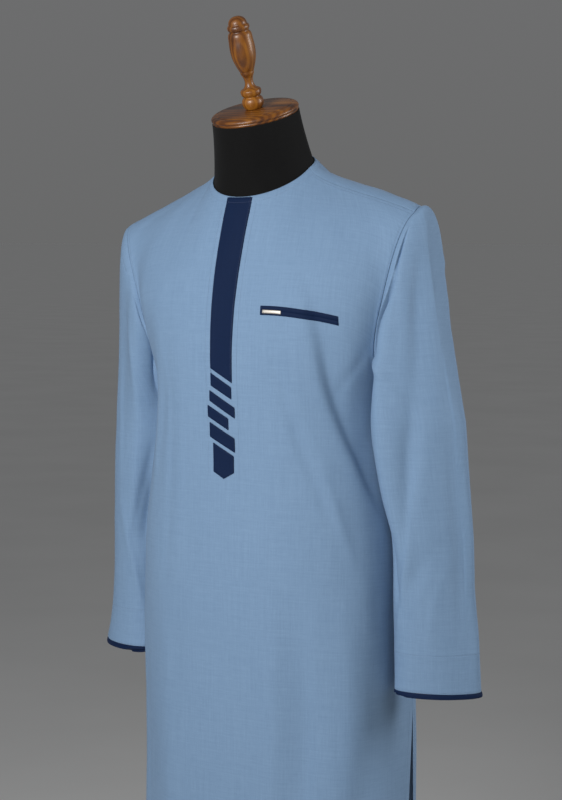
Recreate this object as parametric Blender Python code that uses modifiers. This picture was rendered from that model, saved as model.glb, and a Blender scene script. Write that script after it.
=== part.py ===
"""A man's long kaftan on a limbless dress form, as solids at real size.

Metres, +Z up. The front faces -Y and the wearer's left is +X. The origin is on the
floor, under the middle of the round base. The cloth is a wall through level sections
of the body, columns that run over the shoulders, and rings along each sleeve. What is
sewn on a panel is made from that panel's points, moved out.
"""

import math

import bmesh
import bpy
import numpy as np

# Cloth, and the room that pieces leave each other
WALL = 0.0015
TRIM_WALL = 0.0010
SEAM = 0.0003
EDGE_TRIM = 0.0003
TRIM_LIFT = 0.0005

# Heights above the floor
HEM_Z = 0.450
SLIT_TOP_Z = 0.765
UNDERARM_Z = 1.205
CHEST_Z = 1.310

# Body of the kaftan, in level sections. The side seam lies a little further back
# below the underarm
SIDE_Y = 0.012
SEAM_DRIFT = 0.041
SQUARENESS = 2.4
QUARTER_GIRTH = 0.270
SHOULDER_DROP = 0.170
SLOPE_STEP = 0.010
# Columns: z, left_width, right_width, front_y, back_y
BODY_SECTIONS = (
    (0.450, 0.2010, 0.2000, -0.1200, 0.1540),
    (0.600, 0.2010, 0.2018, -0.1190, 0.1530),
    (0.765, 0.2010, 0.2030, -0.1180, 0.1510),
    (0.900, 0.2008, 0.2028, -0.1175, 0.1460),
    (1.000, 0.1972, 0.1975, -0.1165, 0.1360),
    (1.090, 0.1870, 0.1865, -0.1148, 0.1240),
    (1.162, 0.1790, 0.1778, -0.1172, 0.1180),
    (1.205, 0.1820, 0.1780, -0.1190, 0.1190),
    (1.256, 0.1975, 0.1900, -0.1200, 0.1220),
    (1.310, 0.2190, 0.2088, -0.1163, 0.1230),
    (1.360, 0.2340, 0.2275, -0.1080, 0.1180),
)
FRONT_SLIT = 0.030
BACK_SLIT = 0.014

# Neck edge as (y, z) in front, at the side and behind, shoulder seam and armhole
NECK_SHARE = 0.375
NECK_HALF_WIDTH = 0.0755
NECK_FRONT = (-0.0768, 1.4610)
NECK_SIDE = (-0.0220, 1.5005)
NECK_BACK = (0.0330, 1.5240)
SHOULDER_TIP = {"left": (0.2385, -0.0180, 1.4400), "right": (0.2400, -0.0180, 1.4210)}
SHOULDER_HANDLES = ((0.016, -0.0245), (-0.056, 0.024))
FRONT_ARMHOLE_SHARE = {"left": 0.778, "right": 0.752}
BACK_ARMHOLE_SHARE = 0.850
FRONT_CHEST_HANDLE = 0.050
BACK_CHEST_HANDLE = 0.080

# Upper handle of each column of cloth between the chest and the neck edge or shoulder
# seam. The seam lies forward of the shoulder's ridge, so the back panel climbs first.
# Columns: share, x, y, z
FRONT_HANDLES = (
    (-0.190, -0.0540, -0.0865, 1.4300),
    (0.000, 0.0000, -0.0928, 1.4160),
    (0.190, 0.0540, -0.0865, 1.4300),
    (0.375, 0.0935, -0.0740, 1.4390),
    (0.700, 0.1500, -0.0670, 1.4310),
    (1.000, 0.2285, -0.0440, 1.4220),
)
BACK_HANDLES = (
    (-0.190, -0.0550, 0.0540, 1.5020),
    (0.000, 0.0000, 0.0670, 1.4840),
    (0.190, 0.0550, 0.0540, 1.5020),
    (0.375, 0.0880, 0.0380, 1.5135),
    (0.700, 0.1480, 0.0310, 1.5085),
    (1.000, 0.2345, 0.0220, 1.4720),
)

# Sleeves: ovals along the arm, turned so that their inner end lies forward
SLEEVE_TOP_Z = 1.165
CUFF_Z = {"left": 0.8010, "right": 0.8085}
CUFF_EDGE = 0.0070
SLEEVE_GIRTH = 0.360
CUFF_EDGE_WALL = 0.0021
# Columns: z, centre_x, left_y, right_y, half_long, half_short, turn
SLEEVE_SECTIONS = (
    (0.800, 0.2620, 0.0090, 0.0080, 0.0580, 0.0290, 25.0),
    (0.855, 0.2600, 0.0070, 0.0230, 0.0560, 0.0340, 27.0),
    (0.923, 0.2565, 0.0050, 0.0300, 0.0550, 0.0390, 30.0),
    (1.004, 0.2545, 0.0010, 0.0310, 0.0555, 0.0420, 33.0),
    (1.083, 0.2470, -0.0070, 0.0270, 0.0620, 0.0440, 38.0),
    (1.149, 0.2407, -0.0110, 0.0270, 0.0650, 0.0455, 38.0),
    (1.185, 0.2388, -0.0110, 0.0260, 0.0640, 0.0460, 38.0),
)

# How the sleeve's head leaves the armhole: a row at the underarm, then at the shoulder.
# Columns: length, rise, and how far its lower handle is drawn back in x, y and z
HEAD_HANDLES = {
    "left": ((0.012, -0.50, 0.30, 0.30, 0.50), (0.028, 0.40, 0.88, 0.30, 0.86)),
    "right": ((0.012, -0.50, 0.30, 0.30, 0.50), (0.020, -0.30, 0.38, 0.30, 0.80)),
}
HEAD_FORWARD = 0.35

# Soft ridges (+) and troughs (-) of the body: across is a share of the quarter girth
# from the centre line, + to the wearer's left.
# Columns: top_at, top_z, low_at, low_z, half_width, height
FRONT_FOLDS = (
    (0.90, 1.400, 0.96, 1.215, 0.014, -0.0070),
    (-0.88, 1.430, -0.95, 1.215, 0.018, -0.0100),
    (0.42, 1.270, 0.86, 1.020, 0.026, -0.0045),
    (0.70, 1.330, 0.52, 1.150, 0.024, 0.0030),
    (-0.60, 1.330, -0.82, 1.060, 0.024, -0.0045),
    (-0.55, 0.980, -0.50, 0.300, 0.032, -0.0070),
    (-0.80, 0.900, -0.78, 0.300, 0.026, 0.0035),
    (0.10, 0.900, 0.06, 0.300, 0.040, -0.0045),
    (0.62, 0.940, 0.66, 0.300, 0.032, 0.0060),
    (0.36, 0.820, 0.34, 0.300, 0.028, 0.0040),
)
BACK_FOLDS = (
    (0.18, 1.120, 0.14, 0.300, 0.030, -0.0070),
    (-0.20, 1.100, -0.24, 0.300, 0.032, -0.0065),
    (0.52, 1.000, 0.60, 0.300, 0.030, 0.0060),
    (-0.56, 0.960, -0.60, 0.300, 0.032, 0.0060),
    (0.55, 1.380, 0.20, 1.180, 0.028, -0.0040),
    (-0.55, 1.380, -0.22, 1.170, 0.028, -0.0040),
    (0.00, 1.250, 0.00, 1.040, 0.060, -0.0050),
)

# The same on each sleeve: around is in degrees from the outside, 90 is the front
LEFT_SLEEVE_FOLDS = (
    (118.0, 1.390, 168.0, 1.120, 0.014, -0.0060),
    (92.0, 1.420, 112.0, 1.130, 0.018, 0.0045),
    (60.0, 1.400, 66.0, 1.080, 0.016, -0.0040),
    (150.0, 1.080, 100.0, 0.930, 0.016, -0.0045),
    (40.0, 1.020, 120.0, 0.900, 0.018, -0.0030),
    (300.0, 1.380, 250.0, 1.060, 0.020, -0.0050),
    (200.0, 1.090, 270.0, 0.950, 0.018, -0.0040),
)
RIGHT_SLEEVE_FOLDS = (
    (112.0, 1.400, 150.0, 1.120, 0.015, -0.0060),
    (84.0, 1.410, 96.0, 1.120, 0.018, 0.0040),
    (50.0, 1.380, 60.0, 1.060, 0.018, -0.0035),
    (140.0, 1.070, 90.0, 0.920, 0.016, -0.0040),
    (290.0, 1.390, 250.0, 1.080, 0.020, -0.0050),
    (210.0, 1.060, 280.0, 0.930, 0.018, -0.0040),
)

# Placket: a strip from the neck edge, four slanted blocks and a pointed one.
# Columns: top_x, top_z, low_x, low_z
PLACKET_STRIP = (
    (-0.0205, 1.4602, -0.0180, 1.2325),
    (0.0205, 1.4602, 0.0180, 1.2135),
)
PLACKET_BLOCKS = (
    ((-0.0180, 1.2265, -0.0180, 1.2090), (0.0165, 1.2080, 0.0165, 1.1915)),
    ((-0.0205, 1.2030, -0.0210, 1.1885), (0.0210, 1.1810, 0.0210, 1.1660)),
    ((-0.0245, 1.1830, -0.0245, 1.1670), (0.0100, 1.1660, 0.0100, 1.1500)),
    ((-0.0220, 1.1600, -0.0220, 1.1400), (0.0195, 1.1395, 0.0195, 1.1200)),
)
PLACKET_TIP = (
    (-0.0165, 1.1325, -0.0165, 1.0930),
    (0.0005, 1.1240, 0.0005, 1.0840),
    (0.0175, 1.1155, 0.0175, 1.0930),
)

# Welt of the chest pocket, in two lips with the opening between them, and its bare tag.
# Its middle stands above the straight line between its ends by the bow
WELT_LEFT = (0.0600, 1.3172)
WELT_RIGHT = (0.1620, 1.3045)
WELT_HEIGHT = 0.0122
WELT_BOW = 0.0034
TAG_START = 0.035
TAG_END = 0.305
TAG_MIDDLE = 0.63
TAG_HEIGHT = 0.0050
TAG_WALL = 0.0012

# Dress form
FORM_INSET = 0.0100
TOP_INSETS = ((0.0, 0.0036), (0.375, 0.0036), (0.6, 0.0021), (0.85, 0.0021), (1.0, 0.0100))
FORM_BOTTOM_Z = 0.860
NECK_TOP_CENTRE = (-0.0400, 1.5700)
NECK_TOP_RADIUS = 0.0600
NECK_WAIST = 0.985
ARMHOLE_BULGE = 0.010
CAP_TILT = math.radians(19.0)
CAP_THICK = 0.0110
POLE_RADIUS = 0.0160

# Turned profiles, from the top down. Columns: distance from the foot, radius
BASE_PROFILE = (
    (0.0420, 0.0000),
    (0.0420, 0.0330),
    (0.0400, 0.0370),
    (0.0340, 0.0400),
    (0.0300, 0.0520),
    (0.0270, 0.1500),
    (0.0250, 0.1820),
    (0.0190, 0.1885),
    (0.0120, 0.1900),
    (0.0050, 0.1885),
    (0.0000, 0.1850),
    (0.0000, 0.0000),
)
CAP_PROFILE = (
    (0.0110, 0.0000),
    (0.0110, 0.0560),
    (0.0102, 0.0590),
    (0.0075, 0.0604),
    (0.0050, 0.0600),
    (0.0030, 0.0590),
    (0.0000, 0.0588),
    (0.0000, 0.0000),
)
FINIAL_PROFILE = (
    (0.1260, 0.0000),
    (0.1254, 0.0045),
    (0.1226, 0.0095),
    (0.1180, 0.0122),
    (0.1150, 0.0124),
    (0.1130, 0.0145),
    (0.1108, 0.0151),
    (0.1080, 0.0145),
    (0.1058, 0.0128),
    (0.1040, 0.0148),
    (0.0923, 0.0166),
    (0.0810, 0.0172),
    (0.0714, 0.0164),
    (0.0600, 0.0132),
    (0.0512, 0.0095),
    (0.0410, 0.0061),
    (0.0345, 0.0060),
    (0.0285, 0.0090),
    (0.0262, 0.0132),
    (0.0225, 0.0142),
    (0.0190, 0.0132),
    (0.0165, 0.0108),
    (0.0140, 0.0135),
    (0.0090, 0.0148),
    (0.0040, 0.0136),
    (0.0000, 0.0112),
    (0.0000, 0.0000),
)

# How finely each surface is divided
HALF_COLUMNS = 16
SKIRT_ROWS = 14
UNDERARM_ROWS = 5
SHOULDER_ROWS = 10
SLEEVE_AROUND = 24
CAP_ROWS = 8
ARM_ROWS = 12
FORM_ROWS = 6
STRIP_GRID = (3, 18)
BLOCK_GRID = (3, 2)
TIP_GRID = (4, 3)
WELT_GRID = (8, 1)
TAG_GRID = (3, 1)
TURNED_STEPS = 24
BASE_STEPS = 36


def along(rows, key):
    """Each column of a table at a place of its first column, on a smooth curve through its rows."""
    table = np.array(rows)
    keys = table[:, 0]
    slopes = np.gradient(table, keys, axis=0)
    low = int(np.clip(np.searchsorted(keys, key) - 1, 0, len(keys) - 2))
    span = keys[low + 1] - keys[low]
    t = (key - keys[low]) / span
    here = (2 * t**3 - 3 * t**2 + 1) * table[low] + (t**3 - 2 * t**2 + t) * span * slopes[low]
    there = (3 * t**2 - 2 * t**3) * table[low + 1] + (t**3 - t**2) * span * slopes[low + 1]
    return here + there


def bezier(start, first, second, end, t):
    """A point of the cubic curve from start to end with two handles."""
    s = 1 - t
    return s**3 * start + 3 * s * s * t * first + 3 * s * t * t * second + t**3 * end


def level_row(z, shares, back, side, armhole_share=1.0):
    """Points of a panel's half of the level section at z: share 0 is the centre line."""
    left_width, right_width, front_y, back_y = along(BODY_SECTIONS, z)[1:]
    half_width = left_width if side == "left" else right_width
    angles = np.linspace(0, math.pi, 129)
    depth = np.where(angles < math.pi / 2, SIDE_Y - front_y, back_y - SIDE_Y)
    x = half_width * np.sin(angles) ** (2 / SQUARENESS)
    lean = np.abs(np.cos(angles)) ** (2 / SQUARENESS) * np.sign(np.cos(angles))
    y = SIDE_Y - depth * lean
    run = np.concatenate([[0], np.cumsum(np.hypot(np.diff(x), np.diff(y)))])
    drift = SEAM_DRIFT * min(1.0, max(0.0, (UNDERARM_Z - z) / (UNDERARM_Z - SLIT_TOP_Z)))
    seam = run[64] + drift
    kept = np.asarray(shares) * (1 - (1 - armhole_share) * np.asarray(shares) ** 2)
    at = run[-1] - kept * (run[-1] - seam) if back else kept * seam
    return np.stack([np.interp(at, run, x), np.interp(at, run, y), np.full(len(at), z)], axis=1)


def top_point(share, back, side):
    """A point of the neck edge, up to its share of the width, or else of the shoulder seam."""
    side_y, side_z = NECK_SIDE
    if share <= NECK_SHARE:
        turn = share / NECK_SHARE * math.pi / 2
        middle_y, middle_z = NECK_BACK if back else NECK_FRONT
        return np.array([
            NECK_HALF_WIDTH * math.sin(turn),
            side_y + (middle_y - side_y) * math.cos(turn),
            side_z + (middle_z - side_z) * math.cos(turn),
        ])
    neck = np.array([NECK_HALF_WIDTH, side_y, side_z])
    tip = np.array(SHOULDER_TIP[side])
    near_neck, near_tip = SHOULDER_HANDLES
    first = neck + (near_neck[0], 0, near_neck[1])
    second = tip + (near_tip[0], 0, near_tip[1])
    return bezier(neck, first, second, tip, (share - NECK_SHARE) / (1 - NECK_SHARE))


def panel_row(level, shares, back, side):
    """Half a row of a body panel: level 0 is the hem, 1 the underarm, 2 the chest, 3 the top."""
    shares = np.asarray(shares, dtype=float)
    if level <= 1:
        z = HEM_Z + level * (UNDERARM_Z - HEM_Z)
        below = max(0.0, (SLIT_TOP_Z - z) / (SLIT_TOP_Z - HEM_Z))
        opened = (BACK_SLIT if back else FRONT_SLIT) * below / QUARTER_GIRTH
        return level_row(z, shares * (1 - opened), back, side)
    armhole = BACK_ARMHOLE_SHARE if back else FRONT_ARMHOLE_SHARE[side]
    turn = max(0.0, 2 - level) * math.pi / 2
    reach = 1 - (1 - armhole) * math.cos(turn)
    z = CHEST_Z - (CHEST_Z - UNDERARM_Z) * math.sin(turn)
    low = level_row(z, shares, back, side, reach)
    if level <= 2:
        return low
    above = level_row(z + SLOPE_STEP, shares, back, side, reach)
    below = level_row(z - SLOPE_STEP, shares, back, side, reach)
    handle = BACK_CHEST_HANDLE if back else FRONT_CHEST_HANDLE
    first = low + (above - below) / (2 * SLOPE_STEP) * handle
    top = np.array([top_point(share, back, side) for share in shares])
    table = BACK_HANDLES if back else FRONT_HANDLES
    second = np.array([along(table, share)[1:] for share in shares])
    second[:, 2] += shares * (SHOULDER_TIP[side][2] - SHOULDER_TIP["left"][2])
    return bezier(low, first, second, top, level - 2)


def fold_height(folds, across, z, unit):
    """How far the cloth stands out at a place: across has the table's unit, worth unit metres."""
    total = np.zeros(np.shape(across))
    for top_at, top_z, low_at, low_z, half_width, height in folds:
        run = np.clip((top_z - z) / (top_z - low_z), 0, 1)
        off = (across - (top_at + (low_at - top_at) * run)) * unit / half_width
        fade = np.sin(math.pi * run) ** 0.7
        total = total + height * np.exp(-off * off) * fade
    return total


def grid_normals(points):
    """The outward normal at each point of a grid with rows going up and columns to +X."""
    up = np.gradient(points, axis=0)
    right = np.gradient(points, axis=1)
    normals = np.cross(right, up)
    return normals / np.linalg.norm(normals, axis=2, keepdims=True)


def panel_levels(top):
    """Row places from the hem to the top: even below the underarm, closer above it."""
    skirt = np.linspace(0, 1, SKIRT_ROWS + 1)
    slit = (SLIT_TOP_Z - HEM_Z) / (UNDERARM_Z - HEM_Z)
    skirt[np.argmin(abs(skirt - slit))] = slit
    underarm = np.linspace(1, 2, UNDERARM_ROWS + 1)
    return np.concatenate([skirt, underarm[1:], shoulder_levels(SHOULDER_ROWS, top)])


def shoulder_levels(rows, top):
    """Row places above the chest, closer towards the top."""
    return top - (top - 2) * np.linspace(1, 0, rows + 1)[1:] ** 1.25


def panel_points(back, shares, levels):
    """The outer points of the front or back panel, right side seam to left, with its folds."""
    left = np.array([panel_row(level, shares, back, "left") for level in levels])
    right = np.array([panel_row(level, shares, back, "right") for level in levels])
    points = np.concatenate([right[:, :0:-1] * (-1, 1, 1), left], axis=1)
    signed = np.concatenate([-shares[:0:-1], shares])
    normals = grid_normals(points) * (-1 if back else 1)
    across = np.broadcast_to(signed, points.shape[:2])
    height = fold_height(BACK_FOLDS if back else FRONT_FOLDS, across, points[..., 2], QUARTER_GIRTH)
    edge = 1 - abs(across) ** 8
    return points + normals * (height * edge)[..., None]


def armhole_ring(arounds, side):
    """Points of an armhole, as on the left: 0 degrees at the shoulder, 90 in front."""
    ring = []
    for around in arounds:
        back = around > 180
        level = around / 90 - 1 if back else 3 - around / 90
        ring.append(panel_row(level, [1.0], back, side)[0])
    return np.array(ring)


def sleeve_oval(z, arounds, side):
    """The left-hand sleeve's oval at z, 0 degrees straight out and 90 in front."""
    _, centre_x, left_y, right_y, half_long, half_short, turn = along(SLEEVE_SECTIONS, z)
    turn = math.radians(turn)
    start = math.atan2(half_long * math.sin(turn), half_short * math.cos(turn))
    long = half_long * np.cos(np.radians(arounds) + start)
    short = half_short * np.sin(np.radians(arounds) + start)
    x = centre_x + long * math.cos(turn) + short * math.sin(turn)
    y = long * math.sin(turn) - short * math.cos(turn) + (left_y if side == "left" else right_y)
    return np.stack([x, y, np.full(len(arounds), z)], axis=1)


def sleeve_ring(level, arounds, side, seam):
    """A ring of the left-hand sleeve: level 0 at the armhole, 1 below it, 2 at the cuff."""
    if level >= 1:
        low_z = CUFF_Z[side]
        return sleeve_oval(SLEEVE_TOP_Z + (level - 1) * (low_z - SLEEVE_TOP_Z), arounds, side)
    arm = sleeve_oval(SLEEVE_TOP_Z, arounds, side)
    turn = np.radians(arounds)[:, None]
    top = (1 + np.cos(turn)) / 2
    under, shoulder = np.array(HEAD_HANDLES[side])
    handles = under + (shoulder - under) * top
    forward = -HEAD_FORWARD * np.sin(turn)
    out = np.concatenate([np.ones_like(turn), forward, handles[:, 1:2]], axis=1)
    out = out / np.linalg.norm(out, axis=1, keepdims=True)
    start = seam + out * SEAM
    first = start + out * handles[:, :1]
    second = arm + (seam - arm) * handles[:, 2:]
    return bezier(start, first, second, arm, level)


def sleeve_ring_folds(level, ring, arounds, side):
    """The ring with its folds, which fade out at the armhole."""
    folds = LEFT_SLEEVE_FOLDS if side == "left" else RIGHT_SLEEVE_FOLDS
    outward = ring - ring.mean(axis=0)
    outward[:, 2] = 0
    outward = outward / np.linalg.norm(outward, axis=1, keepdims=True)
    height = fold_height(folds, arounds, ring[:, 2], SLEEVE_GIRTH / 360)
    return ring + outward * (height * min(1.0, 4 * level))[:, None]


def sleeve_points(side, levels, around_count, outset=0.0):
    """Rings of the sleeve from the armhole down, on the left or mirrored to the right."""
    arounds = np.arange(around_count) * 360 / around_count
    seam = armhole_ring(arounds, side)
    rings = []
    for level in levels:
        ring = sleeve_ring_folds(level, sleeve_ring(level, arounds, side, seam), arounds, side)
        away = ring - ring.mean(axis=0)
        away = away / np.linalg.norm(away, axis=1, keepdims=True)
        rings.append(ring + away * outset)
    return np.array(rings) * (-1 if side == "right" else 1, 1, 1)


def front_place(x, z):
    """Share and level of the front panel at a width and a height, by Newton's method."""
    share, level = abs(x) / QUARTER_GIRTH, 2.0
    side = "left" if x >= 0 else "right"
    step = 1e-4
    for _ in range(12):
        here = panel_row(level, [share], False, side)[0]
        by_share = (panel_row(level, [share + step], False, side)[0] - here) / step
        by_level = (panel_row(level - step, [share], False, side)[0] - here) / -step
        matrix = np.array([[by_share[0], by_level[0]], [by_share[2], by_level[2]]])
        move = np.linalg.solve(matrix, (abs(x) - here[0], z - here[2]))
        share = min(max(share + move[0], 0.0), 1.0)
        level = min(max(level + move[1], 0.1), 3.0)
    return share, level


def on_front(x, z, lift):
    """The point of the front panel at a width and a height, moved out by lift."""
    share, level = front_place(x, z)
    step = 0.004
    sign, side = (1, "left") if x >= 0 else (-1, "right")
    lower, upper = max(level - step, 0), min(level + step, 3)
    row = panel_row(level, [abs(share - step), share, share + step], False, side)
    if share < step:
        row[0, 0] = -row[0, 0]
    up = panel_row(upper, [share], False, side)[0] - panel_row(lower, [share], False, side)[0]
    normal = np.cross(row[2] - row[0], up)
    normal = normal / np.linalg.norm(normal)
    height = fold_height(FRONT_FOLDS, np.array([share * sign]), row[1, 2], QUARTER_GIRTH)[0]
    point = row[1] + normal * (height * (1 - share**8) + lift)
    return point * (sign, 1, 1)


def clear_scene():
    for obj in list(bpy.data.objects):
        bpy.data.objects.remove(obj, do_unlink=True)


def collection(name):
    made = bpy.data.collections.new(name)
    bpy.context.scene.collection.children.link(made)
    return made


def material(name, colour, roughness, metallic=0.0):
    made = bpy.data.materials.new(name)
    made.use_nodes = True
    made.diffuse_color = (*colour, 1.0)
    shader = made.node_tree.nodes["Principled BSDF"]
    shader.inputs["Base Color"].default_value = (*colour, 1.0)
    shader.inputs["Roughness"].default_value = roughness
    shader.inputs["Metallic"].default_value = metallic
    return made


def add_object(name, points, faces, finish, where):
    mesh = bpy.data.meshes.new(name)
    mesh.from_pydata([tuple(map(float, p)) for p in points], [], faces)
    mesh.update()
    mesh.shade_smooth()
    mesh.materials.append(finish)
    obj = bpy.data.objects.new(name, mesh)
    where.objects.link(obj)
    return obj


def grid_faces(rows, columns, round_about=False):
    """Quads of a grid, facing the side from which rows go up and columns go right."""
    across = columns if round_about else columns - 1
    faces = []
    for i in range(rows - 1):
        for j in range(across):
            right = (j + 1) % columns
            faces.append((
                i * columns + j,
                i * columns + right,
                (i + 1) * columns + right,
                (i + 1) * columns + j,
            ))
    return faces


def cloth(name, grid, wall, finish, where, turned=False, round_about=False):
    """An open sheet through the grid's points, with a wall on its inner side."""
    rows, columns = grid.shape[:2]
    faces = grid_faces(rows, columns, round_about)
    if turned:
        faces = [face[::-1] for face in faces]
    obj = add_object(name, grid.reshape(-1, 3), faces, finish, where)
    wall_of = obj.modifiers.new("Wall", "SOLIDIFY")
    wall_of.thickness = wall
    wall_of.offset = -1.0
    wall_of.use_even_offset = True
    wall_of.use_rim = True
    return obj


def laid_piece(name, columns, divisions, finish, where, wall=TRIM_WALL, lift=0.0):
    """A flat piece on the front panel, between columns given as top and bottom places."""
    across, down = divisions
    table = np.array(columns)
    keys = np.linspace(0, 1, len(table))
    grid = []
    for t in np.linspace(1, 0, down + 1):
        row = []
        for s in np.linspace(0, 1, across + 1):
            top_x, top_z, low_x, low_z = (np.interp(s, keys, table[:, k]) for k in range(4))
            x = low_x + (top_x - low_x) * t
            z = low_z + (top_z - low_z) * t
            row.append(on_front(x, z, TRIM_LIFT + wall + lift))
        grid.append(row)
    return cloth(name, np.array(grid[::-1]), wall, finish, where)


def turned_piece(name, profile, finish, where, steps=TURNED_STEPS):
    """A turned solid: the outer side of its profile, top to bottom, spun about Z."""
    points = [(radius, 0.0, height) for height, radius in profile]
    edges = [(k, k + 1) for k in range(len(points) - 1)]
    mesh = bpy.data.meshes.new(name)
    mesh.from_pydata(points, edges, [])
    mesh.materials.append(finish)
    obj = bpy.data.objects.new(name, mesh)
    where.objects.link(obj)
    screw = obj.modifiers.new("Turned", "SCREW")
    screw.axis = "Z"
    screw.angle = math.tau
    screw.steps = steps
    screw.render_steps = steps
    screw.use_merge_vertices = True
    screw.merge_threshold = 0.0001
    screw.use_smooth_shade = True
    return obj


def weld_patch(mesh, points, turned=False, round_about=False):
    """Adds a grid of faces to a mesh that is being put together."""
    rows, columns = points.shape[:2]
    verts = [mesh.verts.new(p) for p in points.reshape(-1, 3)]
    for face in grid_faces(rows, columns, round_about):
        corners = [verts[k] for k in face]
        mesh.faces.new(corners[::-1] if turned else corners)


def form_sides(levels, shares):
    """The form's front and back, inside the cloth by an inset that is least on the shoulders."""
    sides = []
    for back in (False, True):
        left = np.array([panel_row(v, shares, back, "left") for v in levels])
        right = np.array([panel_row(v, shares, back, "right") for v in levels])
        points = np.concatenate([right[:, :0:-1] * (-1, 1, 1), left], axis=1)
        sides.append((points, grid_normals(points) * (-1 if back else 1)))
    (front, front_normals), (rear, rear_normals) = sides
    across = abs(np.concatenate([-shares[:0:-1], shares]))
    edge = np.zeros(front.shape[:2], bool)
    edge[np.array(levels) <= 1] = across == 1
    edge[-1] = across >= NECK_SHARE
    shared = (front_normals + rear_normals)[edge]
    shared = shared / np.linalg.norm(shared, axis=1, keepdims=True)
    front_normals[edge] = shared
    rear_normals[edge] = shared
    rise = np.clip(np.array(levels) - 2, 0, 1)[:, None] ** 2
    top_share, top_inset = zip(*TOP_INSETS)
    inset = FORM_INSET + (np.interp(across, top_share, top_inset) - FORM_INSET) * rise
    inset = inset[..., None]
    front = front - front_normals * inset
    rear = rear - rear_normals * inset
    front[0, :, 2] = rear[0, :, 2] = FORM_BOTTOM_Z
    return front, rear


def armhole_plate(front_edge, rear_edge, bulge):
    """Rings that close the form at an armhole, domed outwards by the bulge."""
    ring = np.concatenate([front_edge[::-1], rear_edge[1:-1]])
    middle = ring.mean(axis=0)
    rings = [middle + (ring - middle) * s + (bulge * (1 - s * s), 0, 0) for s in (1, 0.7, 0.35)]
    tip = np.broadcast_to(middle + (bulge, 0, 0), ring.shape)
    return np.array(rings + [tip])


def form_torso(finish, where):
    """The form under the cloth: trunk, shoulders closed at the armholes, and neck."""
    shares = np.linspace(0, 1, HALF_COLUMNS // 2 + 1)
    bottom = (FORM_BOTTOM_Z - HEM_Z) / (UNDERARM_Z - HEM_Z)
    levels = np.concatenate([
        np.linspace(bottom, 1, FORM_ROWS + 1),
        np.linspace(1, 2, UNDERARM_ROWS + 1)[1:],
        shoulder_levels(SHOULDER_ROWS // 2, 3),
    ])
    front, rear = form_sides(levels, shares)
    mesh = bmesh.new()
    weld_patch(mesh, front)
    weld_patch(mesh, rear, turned=True)
    weld_patch(mesh, np.array([rear[0], front[0]]))
    left = armhole_plate(front[FORM_ROWS:, -1], rear[FORM_ROWS:, -1], ARMHOLE_BULGE)
    right = armhole_plate(front[FORM_ROWS:, 0], rear[FORM_ROWS:, 0], -ARMHOLE_BULGE)
    weld_patch(mesh, left, turned=True, round_about=True)
    weld_patch(mesh, right, round_about=True)
    weld_patch(mesh, neck_rings(front[-1], rear[-1]), round_about=True)
    bmesh.ops.remove_doubles(mesh, verts=mesh.verts, dist=1e-5)
    bmesh.ops.recalc_face_normals(mesh, faces=mesh.faces)
    made = bpy.data.meshes.new("form_torso")
    mesh.to_mesh(made)
    mesh.free()
    made.shade_smooth()
    made.materials.append(finish)
    obj = bpy.data.objects.new("form_torso", made)
    where.objects.link(obj)
    return obj


def neck_rings(front_top, rear_top):
    """Rings of the neck from the kaftan's neck edge up to the cap, closed at the top."""
    half = HALF_COLUMNS // 2
    edge = round(NECK_SHARE * half)
    front_edge = front_top[half - edge:half + edge + 1]
    rear_edge = rear_top[half - edge:half + edge + 1][::-1]
    ring = np.concatenate([front_edge, rear_edge[1:-1]])
    turns = np.arctan2(ring[:, 1] - NECK_SIDE[0], ring[:, 0])
    centre_y, centre_z = NECK_TOP_CENTRE
    flat = np.stack([np.cos(turns), np.sin(turns)], axis=1) * NECK_TOP_RADIUS
    top = np.stack([
        flat[:, 0],
        centre_y + flat[:, 1] * math.cos(CAP_TILT),
        centre_z + flat[:, 1] * math.sin(CAP_TILT),
    ], axis=1)
    rings = [ring + (top - ring) * t for t in (0.0, 0.12, 0.35, 0.65)]
    for k in (2, 3):
        middle = rings[k].mean(axis=0)
        rings[k] = middle + (rings[k] - middle) * NECK_WAIST
    centre = np.broadcast_to(np.array([0.0, centre_y, centre_z]), ring.shape)
    return np.array(rings + [top, centre])


def stand_on_neck(obj, along_axis):
    """Places a turned piece on the tilted top of the neck, that far along its axis."""
    centre_y, centre_z = NECK_TOP_CENTRE
    obj.rotation_euler = (CAP_TILT, 0, 0)
    obj.location = (
        0,
        centre_y - math.sin(CAP_TILT) * along_axis,
        centre_z + math.cos(CAP_TILT) * along_axis,
    )


def build_body(finish, where):
    shares = np.linspace(0, 1, HALF_COLUMNS + 1) * (1 - EDGE_TRIM / QUARTER_GIRTH)
    levels = panel_levels(3 - EDGE_TRIM / SHOULDER_DROP)
    cloth("kaftan_front", panel_points(False, shares, levels), WALL, finish, where)
    cloth("kaftan_back", panel_points(True, shares, levels), WALL, finish, where, turned=True)


def build_sleeve(side, finish, edge_finish, where):
    edge_share = CUFF_EDGE / (SLEEVE_TOP_Z - CUFF_Z[side])
    seam_share = SEAM / (SLEEVE_TOP_Z - CUFF_Z[side])
    cap = np.linspace(0, 1, CAP_ROWS + 1)
    arm = np.linspace(1, 2 - edge_share - seam_share, ARM_ROWS + 1)
    turned = side == "right"
    rings = sleeve_points(side, np.concatenate([cap, arm[1:]]), SLEEVE_AROUND)
    cloth(f"sleeve_{side}", rings, WALL, finish, where, turned, True)
    proud = (CUFF_EDGE_WALL - WALL) / 2
    rings = sleeve_points(side, (2 - edge_share, 2), SLEEVE_AROUND, proud)
    cloth(f"cuff_edge_{side}", rings, CUFF_EDGE_WALL, edge_finish, where, turned, True)


def build_placket(finish, where):
    laid_piece("placket_strip", PLACKET_STRIP, STRIP_GRID, finish, where)
    for number, columns in enumerate(PLACKET_BLOCKS, 1):
        laid_piece(f"placket_block_{number}", columns, BLOCK_GRID, finish, where)
    laid_piece("placket_tip", PLACKET_TIP, TIP_GRID, finish, where)


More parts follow.
